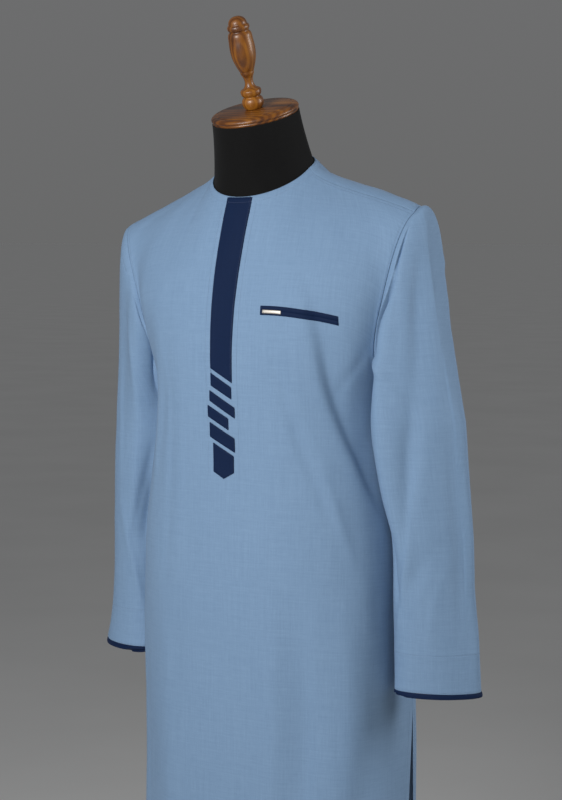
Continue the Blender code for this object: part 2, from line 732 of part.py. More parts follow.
def welt_columns(start, end, top_share, low_share):
    """Columns of a bowed strip on the welt, between shares of its length and height."""
    columns = []
    for s in np.linspace(start, end, WELT_GRID[0] + 1):
        x = WELT_LEFT[0] + (WELT_RIGHT[0] - WELT_LEFT[0]) * s
        z = WELT_LEFT[1] + (WELT_RIGHT[1] - WELT_LEFT[1]) * s + WELT_BOW * 4 * s * (1 - s)
        columns.append((x, z - WELT_HEIGHT * top_share, x, z - WELT_HEIGHT * low_share))
    return columns


def build_pocket(finish, metal, where):
    gap = SEAM / WELT_HEIGHT / 2
    laid_piece("pocket_welt_upper", welt_columns(0, 1, 0, 0.5 - gap), WELT_GRID, finish, where)
    laid_piece("pocket_welt_lower", welt_columns(0, 1, 0.5 + gap, 1), WELT_GRID, finish, where)
    half = TAG_HEIGHT / WELT_HEIGHT / 2
    columns = welt_columns(TAG_START, TAG_END, TAG_MIDDLE - half, TAG_MIDDLE + half)
    laid_piece("pocket_tag", columns, TAG_GRID, metal, where, TAG_WALL, TRIM_WALL + SEAM)


def build_form(cover, wood, metal, where):
    form_torso(cover, where)
    stand_on_neck(turned_piece("neck_cap", CAP_PROFILE, wood, where), SEAM)
    stand_on_neck(turned_piece("finial", FINIAL_PROFILE, wood, where), CAP_THICK + 2 * SEAM)
    turned_piece("stand_base", BASE_PROFILE, wood, where, BASE_STEPS)
    base_top = BASE_PROFILE[0][0] + SEAM
    bpy.ops.mesh.primitive_cylinder_add(
        vertices=TURNED_STEPS,
        radius=POLE_RADIUS,
        depth=FORM_BOTTOM_Z - SEAM - base_top,
        location=(0, 0, (FORM_BOTTOM_Z - SEAM + base_top) / 2),
    )
    pole = bpy.context.object
    pole.name = "stand_pole"
    pole.data.name = "stand_pole"
    pole.data.materials.append(metal)
    for owner in list(pole.users_collection):
        owner.objects.unlink(pole)
    where.objects.link(pole)


def main():
    clear_scene()
    parts = collection("kaftan_on_dress_form")
    blue = material("blue_twill", (0.225, 0.345, 0.520), 0.85)
    navy = material("navy_twill", (0.012, 0.025, 0.085), 0.80)
    black = material("black_cover", (0.012, 0.012, 0.012), 0.85)
    wood = material("turned_wood", (0.330, 0.130, 0.035), 0.35)
    steel = material("dark_steel", (0.060, 0.060, 0.065), 0.35, 1.0)
    bare = material("bare_metal", (0.800, 0.760, 0.720), 0.25, 1.0)
    build_body(blue, parts)
    for side in ("left", "right"):
        build_sleeve(side, blue, navy, parts)
    build_placket(navy, parts)
    build_pocket(navy, bare, parts)
    build_form(black, wood, steel, parts)


main()
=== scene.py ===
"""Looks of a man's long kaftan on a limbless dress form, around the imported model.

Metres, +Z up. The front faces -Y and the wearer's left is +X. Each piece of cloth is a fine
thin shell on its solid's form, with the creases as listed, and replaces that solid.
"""

import math

import bmesh
import bpy
import numpy as np
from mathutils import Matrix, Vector


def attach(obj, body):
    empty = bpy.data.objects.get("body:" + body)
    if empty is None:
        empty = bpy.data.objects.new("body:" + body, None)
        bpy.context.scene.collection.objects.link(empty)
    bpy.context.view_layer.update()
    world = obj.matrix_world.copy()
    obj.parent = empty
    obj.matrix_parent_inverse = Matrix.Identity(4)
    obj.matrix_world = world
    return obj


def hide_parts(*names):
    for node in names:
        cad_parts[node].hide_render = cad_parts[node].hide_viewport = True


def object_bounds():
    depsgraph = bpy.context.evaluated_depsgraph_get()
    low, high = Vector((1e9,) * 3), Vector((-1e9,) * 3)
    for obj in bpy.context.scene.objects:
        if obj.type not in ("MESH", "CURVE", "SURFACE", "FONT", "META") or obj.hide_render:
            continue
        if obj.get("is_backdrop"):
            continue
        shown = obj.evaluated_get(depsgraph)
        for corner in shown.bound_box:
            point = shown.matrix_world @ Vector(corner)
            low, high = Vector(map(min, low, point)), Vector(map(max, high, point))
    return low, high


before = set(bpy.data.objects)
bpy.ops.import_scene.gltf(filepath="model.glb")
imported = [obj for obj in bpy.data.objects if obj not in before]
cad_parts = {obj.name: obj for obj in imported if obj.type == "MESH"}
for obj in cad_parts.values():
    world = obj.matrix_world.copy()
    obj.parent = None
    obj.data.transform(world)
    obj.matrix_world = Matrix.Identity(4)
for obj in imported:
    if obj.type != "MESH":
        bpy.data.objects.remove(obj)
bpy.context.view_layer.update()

MM = 0.001

# Sizes that the solids have too. Heights above the floor
HEM_Z = 0.45
SLIT_TOP_Z = 0.765
UNDERARM_Z = 1.205
CHEST_Z = 1.31

# Body in level sections: z, left_width, right_width, front_y, back_y
SIDE_Y = 0.012
SEAM_DRIFT = 0.041
SQUARENESS = 2.4
QUARTER_GIRTH = 0.27
SLOPE_STEP = 0.01
BODY_SECTIONS = (
    (0.45, 0.201, 0.2, -0.12, 0.154),
    (0.6, 0.201, 0.2018, -0.119, 0.153),
    (0.765, 0.201, 0.203, -0.118, 0.151),
    (0.9, 0.2008, 0.2028, -0.1175, 0.146),
    (1, 0.1972, 0.1975, -0.1165, 0.136),
    (1.09, 0.187, 0.1865, -0.1148, 0.124),
    (1.162, 0.179, 0.1778, -0.1172, 0.118),
    (1.205, 0.182, 0.178, -0.119, 0.119),
    (1.256, 0.1975, 0.19, -0.12, 0.122),
    (1.31, 0.219, 0.2088, -0.1163, 0.123),
    (1.36, 0.234, 0.2275, -0.108, 0.118),
)
# How far each slit's edge is drawn back at the hem, in front and behind
SLIT_OPENING = (0.03, 0.014)

# Neck edge as (y, z) at the side, and in front and behind, shoulder seam and armhole
NECK_SHARE = 0.375
NECK_HALF_WIDTH = 0.0755
NECK_SIDE = (-0.022, 1.5005)
NECK_MIDDLE = ((-0.0768, 1.461), (0.033, 1.524))
SHOULDER_TIP = {"left": (0.2385, -0.018, 1.44), "right": (0.24, -0.018, 1.421)}
SHOULDER_HANDLES = ((0.016, 0, -0.0245), (-0.056, 0, 0.024))
ARMHOLE_SHARE = ({"left": 0.778, "right": 0.752}, {"left": 0.85, "right": 0.85})
CHEST_HANDLE = (0.05, 0.08)

# Upper handle of each column above the chest: share, x, y, z
FRONT_HANDLES = (
    (-0.19, -0.054, -0.0865, 1.43),
    (0, 0, -0.0928, 1.416),
    (0.19, 0.054, -0.0865, 1.43),
    (0.375, 0.0935, -0.074, 1.439),
    (0.7, 0.15, -0.067, 1.431),
    (1, 0.2285, -0.044, 1.422),
)
BACK_HANDLES = (
    (-0.19, -0.055, 0.054, 1.502),
    (0, 0, 0.067, 1.484),
    (0.19, 0.055, 0.054, 1.502),
    (0.375, 0.088, 0.038, 1.5135),
    (0.7, 0.148, 0.031, 1.5085),
    (1, 0.2345, 0.022, 1.472),
)

# Sleeves as ovals along the arm: z, centre_x, left_y, right_y, half_long, half_short, turn
SLEEVE_TOP_Z = 1.165
CUFF_Z = {"left": 0.801, "right": 0.8085}
CUFF_EDGE = 0.007
CUFF_EDGE_WALL = 0.0018
SLEEVE_GIRTH = 0.36
SLEEVE_SECTIONS = (
    (0.8, 0.262, 0.009, 0.008, 0.058, 0.029, 25),
    (0.855, 0.26, 0.007, 0.023, 0.056, 0.034, 27),
    (0.923, 0.2565, 0.005, 0.03, 0.055, 0.039, 30),
    (1.004, 0.2545, 0.001, 0.031, 0.0555, 0.042, 33),
    (1.083, 0.247, -0.007, 0.027, 0.062, 0.044, 38),
    (1.149, 0.2407, -0.011, 0.027, 0.065, 0.0455, 38),
    (1.185, 0.2388, -0.011, 0.026, 0.064, 0.046, 38),
)

# How a sleeve's head leaves the armhole, at the underarm and at the shoulder: length, rise,
# and how far its lower handle is drawn back in x, y and z
HEAD_HANDLES = {
    "left": ((0.012, -0.5, 0.3, 0.3, 0.5), (0.028, 0.4, 0.88, 0.3, 0.86)),
    "right": ((0.012, -0.5, 0.3, 0.3, 0.5), (0.02, -0.3, 0.38, 0.3, 0.8)),
}
HEAD_FORWARD = 0.35

# Placket: strip, slanted blocks and pointed end, in columns of top_x, top_z, low_x, low_z
PLACKET_STRIP = (
    (-0.0205, 1.4602, -0.018, 1.2325),
    (0.0205, 1.4602, 0.018, 1.2135),
)
PLACKET_BLOCKS = (
    ((-0.018, 1.2265, -0.018, 1.209), (0.0165, 1.208, 0.0165, 1.1915)),
    ((-0.0205, 1.203, -0.021, 1.1885), (0.021, 1.181, 0.021, 1.166)),
    ((-0.0245, 1.183, -0.0245, 1.167), (0.01, 1.166, 0.01, 1.15)),
    ((-0.022, 1.16, -0.022, 1.14), (0.0195, 1.1395, 0.0195, 1.12)),
)
PLACKET_TIP = (
    (-0.0165, 1.1325, -0.0165, 1.093),
    (0.0005, 1.124, 0.0005, 1.084),
    (0.0175, 1.1155, 0.0175, 1.093),
)
WELT_LEFT = (0.06, 1.3172)
WELT_RIGHT = (0.162, 1.3045)
WELT_HEIGHT = 0.0122
WELT_BOW = 0.0034
TAG_START = 0.035
TAG_END = 0.305
TAG_MIDDLE = 0.63
TAG_HEIGHT = 0.005

# Dress form
FORM_INSET = 0.01
TOP_INSETS = ((0.0, 0.0016), (0.375, 0.0016), (0.6, 0.0018), (0.85, 0.0021), (1.0, 0.01))
FORM_BOTTOM_Z = 0.86
NECK_TOP_CENTRE = (-0.04, 1.57)
NECK_TOP_RADIUS = 0.06
CAP_TILT = math.radians(19.0)
CAP_THICK = 0.011
PART_GAP = 0.0003

# Cloth as it is seen: a thin shell whose edges are rolled in where it is sewn
CLOTH_WALL = 0.0008
TRIM_WALL = 0.0011
TRIM_LIFT = 0.0002
TRIM_TOP = TRIM_LIFT + TRIM_WALL
SEAM_GAP = 0.00008
ROLL_DEPTH = 0.0003
ROLL_REACH = 0.001
FACING_RISE = 0.0005

# Lines of stitches, as distances from the edge that they follow
NECK_LINE = 0.009
NECK_EDGE_LINE = 0.0016
PLACKET_LINE = 0.0075
SHOULDER_LINE = 0.005
ARMHOLE_LINE = 0.005
CUFF_LINE = 0.052
CUFF_EDGE_LINE = 0.0015
HEM_LINE = 0.022
SLIT_LINE = 0.011
# Length of a stitch, distance from one to the next, and radius of the thread
STITCH = 0.0021
STITCH_PITCH = 0.003
STITCH_RADIUS = 0.00026

# Soft ridges (+) and troughs (-). Places across are along the cloth from the centre line, as
# shares of the quarter girth, + to the wearer's left. Widths, near towards - and far towards +,
# and heights are in mm: top_at, top_z, low_at, low_z, near_width, far_width, height, and a bow
# if it has one
FRONT_FOLDS = (
    (0.75, 1.4, 0.88, 1.215, 14, 14, -3),
    (-0.71, 1.43, -0.86, 1.215, 18, 18, -10),
    (-0.55, 1.33, -0.82, 1.06, 24, 24, -4.5),
    (-0.55, 0.98, -0.5, 0.3, 32, 32, -6.5),
    (-0.8, 0.9, -0.78, 0.3, 26, 26, 3.5),
    (0.1, 0.9, 0.06, 0.3, 40, 40, -3.5),
    (0.57, 0.96, 0.57, 0.3, 30, 19, 8.6),
    (0.68, 1.39, 0.72, 1.02, 22, 14, 2),
    (0.72, 1.11, 0.6, 0.6, 28, 16, 3),
    (0.89, 1.08, 0.86, 0.56, 22, 26, -2),
    (0.4, 1.375, 0.87, 1.02, 11, 36, -6),
    (0.34, 1.37, 0.79, 1.04, 18, 9, 2),
    (0.26, 1.29, 0.6, 1, 9, 13, -2),
    (0.54, 1.11, 0.66, 0.96, 10, 7, 1.8),
    (0.26, 1, 0.24, 0.42, 20, 14, 3.2),
    (0.39, 0.98, 0.39, 0.38, 20, 15, -5.2),
    (-0.42, 1.3, -0.37, 0.9, 7, 9, -1.4, 0.02),
    (-0.3, 1.24, -0.28, 0.96, 9, 7, 1),
    (-0.54, 1.25, -0.56, 1, 12, 10, 2),
    (-0.45, 1.24, -0.48, 1.1, 10, 10, -1.4),
    (-0.34, 0.92, -0.33, 0.44, 16, 12, 1.6),
    (-0.58, 0.92, -0.6, 0.48, 10, 10, -1.4),
    (0.84, 1.29, 0.62, 1.185, 10, 8, -1.4),
    (-0.86, 1.31, -0.66, 1.15, 10, 12, -1.6),
)
BACK_FOLDS = (
    (0.18, 1.12, 0.14, 0.3, 30, 30, -7),
    (-0.2, 1.1, -0.24, 0.3, 32, 32, -6.5),
    (0.52, 1, 0.6, 0.3, 30, 30, 6),
    (-0.56, 0.96, -0.6, 0.3, 32, 32, 6),
    (0.53, 1.38, 0.2, 1.18, 28, 28, -4),
    (-0.53, 1.38, -0.22, 1.17, 28, 28, -4),
    (0, 1.25, 0, 1.04, 60, 60, -5),
    (0.74, 1.36, 0.42, 1.14, 16, 7, 2.6, 0.04),
    (-0.75, 1.35, -0.46, 1.15, 7, 16, 2.4, -0.04),
    (0.82, 1.3, 0.66, 1.08, 10, 10, -2),
    (-0.83, 1.29, -0.7, 1.07, 10, 10, -2),
    (0.34, 1.16, 0.52, 0.96, 12, 7, 1.8, 0.02),
    (-0.3, 1.17, -0.5, 0.97, 7, 12, 1.8, -0.02),
    (0.36, 0.98, 0.34, 0.44, 12, 16, -2.6, 0.02),
    (-0.38, 0.96, -0.42, 0.44, 16, 12, -2.4, -0.02),
    (0, 1.01, 0.02, 0.44, 16, 16, 2.2),
    (0.78, 0.96, 0.8, 0.48, 12, 14, -2),
    (-0.78, 0.93, -0.82, 0.48, 14, 12, -2),
)

# The same on the sleeves, with places in degrees from the outside, and 90 in front
LEFT_SLEEVE_FOLDS = (
    (118, 1.39, 168, 1.12, 14, 14, -6),
    (134, 1.3, 142, 0.86, 20, 22, -4.6),
    (84, 1.42, 108, 1.13, 18, 18, 4.5),
    (60, 1.4, 66, 1.08, 16, 16, -1.6),
    (150, 1.08, 100, 0.93, 16, 16, -4),
    (40, 1.02, 120, 0.9, 18, 18, -2.2),
    (300, 1.38, 250, 1.06, 20, 20, -5),
    (200, 1.09, 270, 0.95, 18, 18, -4),
    (10, 1.405, 42, 1.19, 15, 12, -6.2, 3),
    (32, 1.285, 80, 0.96, 15, 13, -7, 5),
    (342, 1.395, 18, 1.18, 14, 11, 5.6),
    (346, 1.23, 346, 0.85, 14, 12, 4.2),
    (94, 1.26, 106, 0.92, 16, 14, 4.2),
    (4, 1.21, 13, 0.82, 14, 14, -3.4),
    (346, 1.44, 352, 1.35, 9, 9, -1.6),
    (42, 1.13, 122, 0.85, 14, 7, 3.8, 4),
    (158, 1.06, 92, 0.895, 7, 11, -3.6),
    (20, 1.01, 62, 0.85, 12, 8, 1.4, 6),
    (334, 0.95, 340, 0.8, 16, 14, 3),
)
RIGHT_SLEEVE_FOLDS = (
    (112, 1.4, 150, 1.12, 15, 15, -6),
    (84, 1.41, 96, 1.12, 18, 18, 4),
    (50, 1.38, 60, 1.06, 18, 18, -3.5),
    (140, 1.07, 90, 0.92, 16, 16, -4),
    (290, 1.39, 250, 1.08, 20, 20, -5),
    (210, 1.06, 280, 0.93, 18, 18, -4),
    (70, 1.33, 100, 1.13, 8, 7, 2.2),
    (38, 1.24, 66, 1.04, 8, 6, 1.8),
    (125, 1.37, 127, 1.12, 20, 18, -9),
    (125, 1.18, 122, 0.81, 20, 18, -9),
    (94, 1.34, 94, 0.9, 12, 10, 1.6),
    (124, 1.12, 84, 0.93, 7, 9, -2.2),
    (60, 1.05, 118, 0.85, 9, 6, 2.4),
)
FOLD_FADE = 1.2
HEAD_FADE = 0.009

# The roll that a set-in sleeve makes along its armhole seam: degrees round it, and in mm
# where it breaks off, how high it stands and how deep the dip beyond it is
HEAD_ROLL = {
    "left": (
        (20, 7.5, 0, 0), (30, 8, 0.7, 0.6), (42, 9.2, 1.1, 1.4), (58, 10.8, 1.2, 2.6),
        (76, 9.8, 1.2, 4.2), (95, 6.2, 1, 3.8), (118, 3.6, 0.4, 1.6), (160, 5, 0, 0.4),
        (200, 6, 0.4, 0), (250, 9, 1, 1.8), (290, 10, 1, 2), (325, 8, 0.5, 0.6), (345, 7.5, 0, 0),
    ),
    "right": (
        (14, 10, 0, 0), (30, 19, 0.8, 1.2), (50, 14, 1, 2.6), (67, 9.2, 1, 3.8),
        (88, 4.4, 0.6, 3.6), (125, 3.6, 0, 1.4), (200, 6, 0.4, 0), (245, 9, 1, 1.8),
        (285, 11, 1, 2), (320, 8, 0.5, 0.6), (345, 8, 0, 0),
    ),
}
ROLL_BREAK = 0.0016
GROOVE_REACH = 0.0018
GROOVE_SHARE = 1.3
DIP_REACH = 0.01

# Slight waves all over the cloth: wave across, wave along, phase, height
WAVES = (
    (0.137, 0.61, 0.3, 0.0005), (0.083, 0.37, 1.9, 0.00035), (0.211, 0.23, 4.1, 0.00045),
    (0.049, 0.29, 2.7, 0.00016), (0.061, 0.052, 5.2, 0.0001), (0.033, 0.118, 0.8, 0.00007),
)

# How finely each surface is divided
PANEL_STEP = 0.003
SKIRT_STEP = 0.0052
SHOULDER_STEP = 0.0036
CLOSE_STEP = 0.0012
CLOSE_BAND = 0.013
HEAD_BAND = 0.034
SLEEVE_AROUND = 208
HEAD_STEP = 0.004
HEAD_CLOSE = 0.0008
ARM_STEP = 0.005
TRIM_STEP = 0.0022
TURNED_STEPS = 112
# About how long a panel is above the chest, and a sleeve's head from seam to arm
PANEL_DROP = 0.17
HEAD_DROP = 0.19


def along(rows, keys):
    """A table's columns at places of its first one, on a smooth curve through its rows."""
    table = np.array(rows)
    marks = table[:, 0]
    slopes = np.gradient(table, marks, axis=0)
    low = np.clip(np.searchsorted(marks, keys) - 1, 0, len(marks) - 2)
    span = (marks[low + 1] - marks[low])[..., None]
    t = (keys - marks[low])[..., None] / span
    here = (2 * t**3 - 3 * t**2 + 1) * table[low] + (t**3 - 2 * t**2 + t) * span * slopes[low]
    there = (3 * t**2 - 2 * t**3) * table[low + 1] + (t**3 - t**2) * span * slopes[low + 1]
    return here + there


def bezier(start, first, second, end, t):
    """A point of the cubic curve from start to end with two handles."""
    s = 1 - t
    return s**3 * start + 3 * s * s * t * first + 3 * s * t * t * second + t**3 * end


def unit(vectors):
    """The vectors at length 1."""
    return vectors / np.linalg.norm(vectors, axis=-1, keepdims=True)


def smooth(low, high, value):
    """0 below low and 1 above high, with a soft step between."""
    t = np.clip((value - low) / (high - low), 0, 1)
    return t * t * (3 - 2 * t)


def level_row(z, shares, back, side, armhole_share=1.0):
    """Points of a panel's half of the level section at z: share 0 is the centre line."""
    left_width, right_width, front_y, back_y = along(BODY_SECTIONS, np.float64(z))[1:]
    half_width = left_width if side == "left" else right_width
    angles = np.linspace(0, math.pi, 257)
    depth = np.where(angles < math.pi / 2, SIDE_Y - front_y, back_y - SIDE_Y)
    x = half_width * np.sin(angles) ** (2 / SQUARENESS)
    lean = np.abs(np.cos(angles)) ** (2 / SQUARENESS) * np.sign(np.cos(angles))
    y = SIDE_Y - depth * lean
    run = np.append(0, np.cumsum(np.hypot(np.diff(x), np.diff(y))))
    drift = SEAM_DRIFT * min(1.0, max(0.0, (UNDERARM_Z - z) / (UNDERARM_Z - SLIT_TOP_Z)))
    seam = run[128] + drift
    kept = shares * (1 - (1 - armhole_share) * shares**2)
    at = run[-1] - kept * (run[-1] - seam) if back else kept * seam
    return np.stack([np.interp(at, run, x), np.interp(at, run, y), np.full(len(at), z)], axis=1)


def top_point(share, back, side):
    """A point of the neck edge, up to its share of the width, or else of the shoulder seam."""
    neck = np.array([NECK_HALF_WIDTH, *NECK_SIDE])
    if share <= NECK_SHARE:
        turn = share / NECK_SHARE * math.pi / 2
        across = np.array([1, 0, 0]) * neck
        middle = np.array([0, *NECK_MIDDLE[back]])
        return neck - across + across * math.sin(turn) + (middle - neck + across) * math.cos(turn)
    tip = np.array(SHOULDER_TIP[side])
    near_neck, near_tip = SHOULDER_HANDLES
    return bezier(neck, neck + near_neck, tip + near_tip, tip, (share - NECK_SHARE) / (1 - NECK_SHARE))


def half_panel(back, side, shares, levels):
    """Rows of half a body panel: level 0 is the hem, 1 the underarm, 2 the chest, 3 the top."""
    top = np.array([top_point(share, back, side) for share in shares])
    upper = along(BACK_HANDLES if back else FRONT_HANDLES, shares)[:, 1:]
    upper[:, 2] += shares * (SHOULDER_TIP[side][2] - SHOULDER_TIP["left"][2])
    armhole = ARMHOLE_SHARE[back][side]
    chest, above, below = (
        level_row(CHEST_Z + step, shares, back, side, armhole) for step in (0, SLOPE_STEP, -SLOPE_STEP)
    )
    lower = chest + (above - below) / (2 * SLOPE_STEP) * CHEST_HANDLE[back]
    rows = []
    for level in levels:
        if level <= 1:
            z = HEM_Z + level * (UNDERARM_Z - HEM_Z)
            below = max(0.0, (SLIT_TOP_Z - z) / (SLIT_TOP_Z - HEM_Z))
            opened = SLIT_OPENING[back] * below / QUARTER_GIRTH
            rows.append(level_row(z, shares * (1 - opened), back, side))
        elif level <= 2:
            turn = (2 - level) * math.pi / 2
            z = CHEST_Z - (CHEST_Z - UNDERARM_Z) * math.sin(turn)
            rows.append(level_row(z, shares, back, side, 1 - (1 - armhole) * math.cos(turn)))
        else:
            rows.append(bezier(chest, lower, upper, top, level - 2))
    return np.array(rows)


def fold_height(folds, across, z, unit_size, turn=None):
    """How far the cloth stands out. Places across repeat after a turn, if there is one."""
    total = np.zeros(np.shape(across))
    for top_at, top_z, low_at, low_z, near, far, height, *bow in folds:
        run = np.clip((top_z - z) / (top_z - low_z), 0, 1)
        arch = np.sin(math.pi * run)
        off = across - (top_at + (low_at - top_at) * run + sum(bow) * arch)
        if turn:
            off = (off + turn / 2) % turn - turn / 2
        off = off * unit_size / np.where(off < 0, near * MM, far * MM)
        total = total + height * MM * np.exp(-off * off) * arch**FOLD_FADE
    return total


def wave_height(u, v, shift):
    """Slight unevenness of hanging cloth, from u across and v along it in metres."""
    total = 0
    for across, length, phase, height in WAVES:
        wander = 0.9 * np.sin(v / length * 2.3 + phase * 1.7 + shift)
        wave = np.sin(math.tau * u / across + phase + shift + wander)
        total = total + height * wave * np.sin(math.tau * v / length + 2 * phase + shift)
    return total


def grid_normals(points, outward=1):
    """Normals of a grid with rows going up and columns to +X, or their opposites."""
    return unit(np.cross(np.gradient(points, axis=1), np.gradient(points, axis=0))) * outward


def lengths_along(points, axis):
    """Distance from the grid's first line, measured along the cloth on that axis."""
    steps = np.linalg.norm(np.diff(points, axis=axis), axis=2)
    zero = np.zeros_like(np.take(steps, [0], axis=axis))
    return np.concatenate([zero, np.cumsum(steps, axis=axis)], axis=axis)


def even(start, end, step):
    """Even places from start up to but not including end, about a step apart."""
    return np.linspace(start, end, max(2, round((end - start) / step)), endpoint=False)


def seam_steps(band, step):
    """Distances from a sewn edge at which the cloth has a line of points."""
    return np.concatenate([[SEAM_GAP, 0.0007, 0.0012, 0.0018], even(0.0026, band, step)])


def roll(distance):
    """How far an edge is rolled in, at a distance from it."""
    return -ROLL_DEPTH * np.exp(-((distance / ROLL_REACH) ** 2))


def whole_panel(back, shares, levels):
    """Points of a body panel from the wearer's right to left, and its outward normals."""
    left = half_panel(back, "left", shares, levels)
    right = half_panel(back, "right", shares, levels) * (-1, 1, 1)
    points = np.concatenate([right[:, :0:-1], left], axis=1)
    return points, grid_normals(points, -1 if back else 1)


def make_panel(back):
    """A body panel as a dict of grids: points, normals, and distances along the cloth."""
    close = np.array([SEAM_GAP, 0.0007, 0.0012, 0.002, 0.003])
    inner = even(0, 1 - 0.0045 / QUARTER_GIRTH, PANEL_STEP / QUARTER_GIRTH)
    shares = np.concatenate([inner, (1 - close / QUARTER_GIRTH)[::-1]])
    levels = np.concatenate([
        even(0, 1, SKIRT_STEP / (UNDERARM_Z - HEM_Z)),
        even(1, 2, SHOULDER_STEP / (CHEST_Z - UNDERARM_Z)),
        even(2, 3 - CLOSE_BAND / PANEL_DROP, SHOULDER_STEP / PANEL_DROP),
        (3 - seam_steps(CLOSE_BAND, CLOSE_STEP) / PANEL_DROP)[::-1],
    ])
    points, normals = whole_panel(back, shares, levels)
    share = np.broadcast_to(np.concatenate([-shares[:0:-1], shares]), points.shape[:2])
    level = np.broadcast_to(levels[:, None], points.shape[:2])
    u = lengths_along(points, 1)
    u = u - u[:, [len(shares) - 1]]
    v = lengths_along(points, 0)
    from_side, from_top = (1 - abs(share)) * QUARTER_GIRTH, v[-1] - v
    armhole = np.where(share > 0, *(ARMHOLE_SHARE[back][side] for side in ("left", "right")))
    drawn_in = (1 - armhole) * np.sin(math.pi / 2 * np.clip(level - 1, 0, 1))
    across = share * (1 - drawn_in * share**2)
    folds = BACK_FOLDS if back else FRONT_FOLDS
    height = fold_height(folds, across, points[..., 2], QUARTER_GIRTH) * (1 - abs(share) ** 8)
    calm = smooth(0, 0.02, from_side) * smooth(0, 0.02, from_top)
    height = height + wave_height(u, v, 2.0 if back else 0.0) * calm
    points = points + normals * height[..., None]
    normals = grid_normals(points, -1 if back else 1)
    return {
        "points": points, "normals": normals, "share": share, "level": level,
        "u": u, "v": v, "side": from_side, "top": from_top,
    }


def finish_panel(panel, edge, in_front):
    """Rolls the sewn edges in, raises the facing, and marks the sewn lines."""
    side, top = panel["side"], panel["top"]
    x, _, z = np.moveaxis(panel["points"], 2, 0)
    neck = np.full(side.shape, 1.0)
    rows = np.flatnonzero(top.min(axis=1) < 0.05)
    gaps = np.linalg.norm(panel["points"][rows][:, :, None] - edge[None, None], axis=3)
    neck[rows] = gaps.min(axis=2)
    rise = FACING_RISE * smooth(-0.0012, 0.0012, NECK_LINE - neck) + roll(np.minimum(side, top))
    lines = [
        abs(neck - NECK_LINE),
        abs(panel["v"] - HEM_LINE),
        np.where(z < SLIT_TOP_Z, abs(side - SLIT_LINE), 1),
        np.where(panel["level"] > 1, abs(side - ARMHOLE_LINE), 1),
    ]
    if in_front:
        reach = abs(abs(x) - PLACKET_STRIP[1][0] - PLACKET_LINE)
        lines.append(np.where(z > PLACKET_TIP[1][3], reach, 1))
        lines.append(np.where(abs(panel["share"]) > NECK_SHARE, abs(top - SHOULDER_LINE), 1))
    panel["neck"] = neck
    panel["line"] = np.minimum(np.min(lines, axis=0), 0.02)
    panel["points"] = panel["points"] + panel["normals"] * rise[..., None]


def armhole_ring(arounds, side):
    """Points of an armhole, as on the left: 0 degrees at the shoulder, 90 in front."""
    ring = []
    for around in arounds:
        back = bool(around > 180)
        level = around / 90 - 1 if back else 3 - around / 90
        ring.append(half_panel(back, side, np.ones(1), [level])[0, 0])
    return np.array(ring)


def sleeve_oval(z, arounds, side):
    """The left-hand sleeve's oval at z, 0 degrees straight out and 90 in front."""
    section = along(SLEEVE_SECTIONS, np.float64(z))[1:]
    centre_x, left_y, right_y, half_long, half_short, turn = section
    turn = math.radians(turn)
    start = math.atan2(half_long * math.sin(turn), half_short * math.cos(turn))
    long = half_long * np.cos(np.radians(arounds) + start)
    short = half_short * np.sin(np.radians(arounds) + start)
    x = centre_x + long * math.cos(turn) + short * math.sin(turn)
    y = long * math.sin(turn) - short * math.cos(turn) + (left_y if side == "left" else right_y)
    return np.stack([x, y, np.full(len(arounds), z)], axis=1)


def sleeve_ring(level, arounds, side, seam):
    """A ring of the left-hand sleeve: level 0 at the armhole, 1 below it, 2 at the cuff."""
    if level >= 1:
        low_z = CUFF_Z[side]
        return sleeve_oval(SLEEVE_TOP_Z + (level - 1) * (low_z - SLEEVE_TOP_Z), arounds, side)
    arm = sleeve_oval(SLEEVE_TOP_Z, arounds, side)
    turn = np.radians(arounds)[:, None]
    top = (1 + np.cos(turn)) / 2
    under, shoulder = np.array(HEAD_HANDLES[side])
    handles = under + (shoulder - under) * top
    forward = -HEAD_FORWARD * np.sin(turn)
    out = unit(np.concatenate([np.ones_like(turn), forward, handles[:, 1:2]], axis=1))
    start = seam + out * SEAM_GAP
    first = start + out * handles[:, :1]
    second = arm + (seam - arm) * handles[:, 2:]
    return bezier(start, first, second, arm, level)


def sleeve_levels(side):
    """Ring places of a sleeve, closer at its head, down to the cuff's edge strip."""
    length = SLEEVE_TOP_Z - CUFF_Z[side]
    close = seam_steps(HEAD_BAND, HEAD_CLOSE)[1:] / HEAD_DROP
    cap = even(close[-1] + HEAD_CLOSE / HEAD_DROP, 1, HEAD_STEP / HEAD_DROP)
    arm = even(1, 2 - 0.014 / length, ARM_STEP / length)
    cuff = np.linspace(2 - 0.0128 / length, 2 - (CUFF_EDGE + SEAM_GAP) / length, 6)
    return np.concatenate([[0.0], close, cap, arm, cuff])


